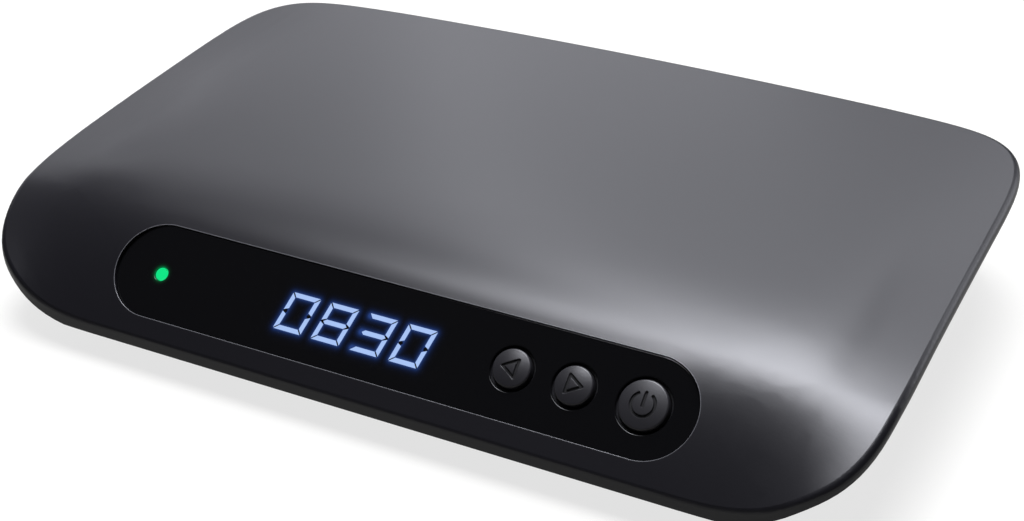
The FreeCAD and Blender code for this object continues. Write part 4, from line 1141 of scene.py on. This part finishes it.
# ---- operator: studio
# Each softbox's degrees round from behind, rightwards, its degrees above the floor and its watts.
SOFTBOXES = {
    "low_rear": (-30, 12, 0.9),
    "low_left": (-60, 12, 0.65),
    "low_right": (40, 7, 1.6),
    "rear": (-15, 28, 1.3),
    "rear_left": (-45, 28, 0.8),
    "rear_right": (33, 24, 1.8),
    "left": (-75, 28, 0.5),
    "raised_rear": (-15, 42, 1.05),
    "raised_left": (-45, 42, 0.85),
    "raised_right": (16, 40, 1.0),
    "high_rear": (-15, 54, 2.6),
    "higher_rear": (-10, 66, 5.9),
    "overhead_left": (-40, 78, 11.2),
    "overhead_front": (-120, 78, 1.2),
    "overhead": (0, 89, 11.2),
}
FLOOR_SIZE = 4.0
AIM_HEIGHT = 0.02       # where the lamps point, above the floor
SENSOR_WIDTH = 36.0     # millimetres
CLIP = (0.01, 20.0)


def soft_light(name, turn, rise, power, look):
    """A large rectangular lamp that shines on the receiver from one side."""
    lamp = bpy.data.lights.new(name, "AREA")
    lamp.shape = "RECTANGLE"
    lamp.size = look.softbox_width
    lamp.size_y = look.softbox_height
    lamp.energy = power
    lamp.color = look.lamp
    holder = bpy.data.objects.new(name, lamp)
    bpy.context.scene.collection.objects.link(holder)
    turn, rise = math.radians(turn), math.radians(rise)
    level = math.cos(rise)
    away = Vector((math.sin(turn) * level, math.cos(turn) * level, math.sin(rise)))
    holder.location = away * look.softbox_distance
    ahead = Vector((0, 0, AIM_HEIGHT)) - holder.location
    holder.rotation_mode = "QUATERNION"
    holder.rotation_quaternion = ahead.to_track_quat("-Z", "Y")


class RECEIVER_OT_studio(bpy.types.Operator):
    """Builds the pale floor, the soft lights and the camera"""
    bl_idname = "receiver.studio"
    bl_label = "Studio"

    def execute(self, context):
        look = context.scene.receiver_studio
        bm = bmesh.new()
        bmesh.ops.create_grid(bm, x_segments=1, y_segments=1, size=FLOOR_SIZE)
        floor = linked("floor", mesh_of("floor", bm))
        floor.location.z = CAD_BOX[0].z - look.floor_drop
        floor.data.materials.append(floor_finish(look))
        world = bpy.data.worlds.new("studio")
        context.scene.world = world
        sky = Nodes(world, "ShaderNodeOutputWorld")
        seen = sky.node("ShaderNodeLightPath", output="Is Camera Ray")
        sky.show(sky.node("ShaderNodeBackground", None, {
            "Color": (1, 1, 1, 1), "Strength": seen * (1 - look.ambient) + look.ambient}))
        for name, (turn, rise, power) in SOFTBOXES.items():
            soft_light(name + "_softbox", turn, rise, power, look)
        camera = bpy.data.cameras.new("camera")
        camera.sensor_fit = "HORIZONTAL"
        camera.sensor_width = SENSOR_WIDTH
        camera.lens = look.lens
        camera.clip_start, camera.clip_end = CLIP
        holder = bpy.data.objects.new("camera", camera)
        context.scene.collection.objects.link(holder)
        turn = Matrix.Rotation(look.azimuth, 4, "Z")
        tilt = Matrix.Rotation(math.pi / 2 - look.elevation, 4, "X")
        lean = Matrix.Rotation(look.roll, 4, "Z")
        holder.matrix_world = Matrix.Translation(look.eye) @ turn @ tilt @ lean
        context.scene.camera = holder
        context.scene.view_settings.view_transform = "Standard"
        return {"FINISHED"}


def floor_finish(look):
    """Pale floor that keeps the receiver's shadow, and throws back less light than it shows.

    It turns plain white further out, so that no horizon shows.
    """
    made = Finish("floor", look.floor, 0.8)
    direct = made.node("ShaderNodeLightPath", output="Is Camera Ray")
    made.put("Base Color", made.tint(direct, scaled(look.floor, look.floor_bounce), look.floor))
    white = made.node("ShaderNodeEmission", None, {"Color": (1, 1, 1, 1), "Strength": 1.0})
    away = made.length(made.place())
    fade = ((away - look.floor_clear) * (1 / look.floor_fade)).limited()
    share = fade * (1 - look.floor_glow) + look.floor_glow
    made.show(made.node("ShaderNodeMixShader", None,
                        {0: direct * share, 1: made.surface, 2: white}))
    return made.material


# ---- panel and registration
STEPS = (RECEIVER_OT_casing, RECEIVER_OT_window, RECEIVER_OT_display, RECEIVER_OT_status_light,
         RECEIVER_OT_keys, RECEIVER_OT_sockets, RECEIVER_OT_electronics, RECEIVER_OT_studio)
LOOKS = {"receiver_casing": CasingLook, "receiver_front": FrontLook, "receiver_sockets": SocketLook,
         "receiver_studio": StudioLook}


class RECEIVER_PT_panel(bpy.types.Panel):
    """Sizes, colours and the steps that build the receiver's looks"""
    bl_idname = "RECEIVER_PT_panel"
    bl_label = "Receiver"
    bl_space_type = "VIEW_3D"
    bl_region_type = "UI"
    bl_category = "Receiver"

    def draw(self, context):
        for name, look in LOOKS.items():
            box = self.layout.box()
            box.label(text=look.__doc__)
            for prop in look.__annotations__:
                box.prop(getattr(context.scene, name), prop)
        for step in STEPS:
            self.layout.operator(step.bl_idname)


def register():
    """Registers the settings, the steps and the panel."""
    for name, look in LOOKS.items():
        bpy.utils.register_class(look)
        setattr(bpy.types.Scene, name, PointerProperty(type=look))
    for step in STEPS:
        bpy.utils.register_class(step)
    bpy.utils.register_class(RECEIVER_PT_panel)


def unregister():
    """Takes them out again."""
    bpy.utils.unregister_class(RECEIVER_PT_panel)
    for step in reversed(STEPS):
        bpy.utils.unregister_class(step)
    for name, look in LOOKS.items():
        delattr(bpy.types.Scene, name)
        bpy.utils.unregister_class(look)


def main():
    """Builds everything."""
    register()
    for step in STEPS:
        group, name = step.bl_idname.split(".")
        getattr(getattr(bpy.ops, group), name)()
    bpy.context.view_layer.update()


if __name__ == "__main__":
    main()
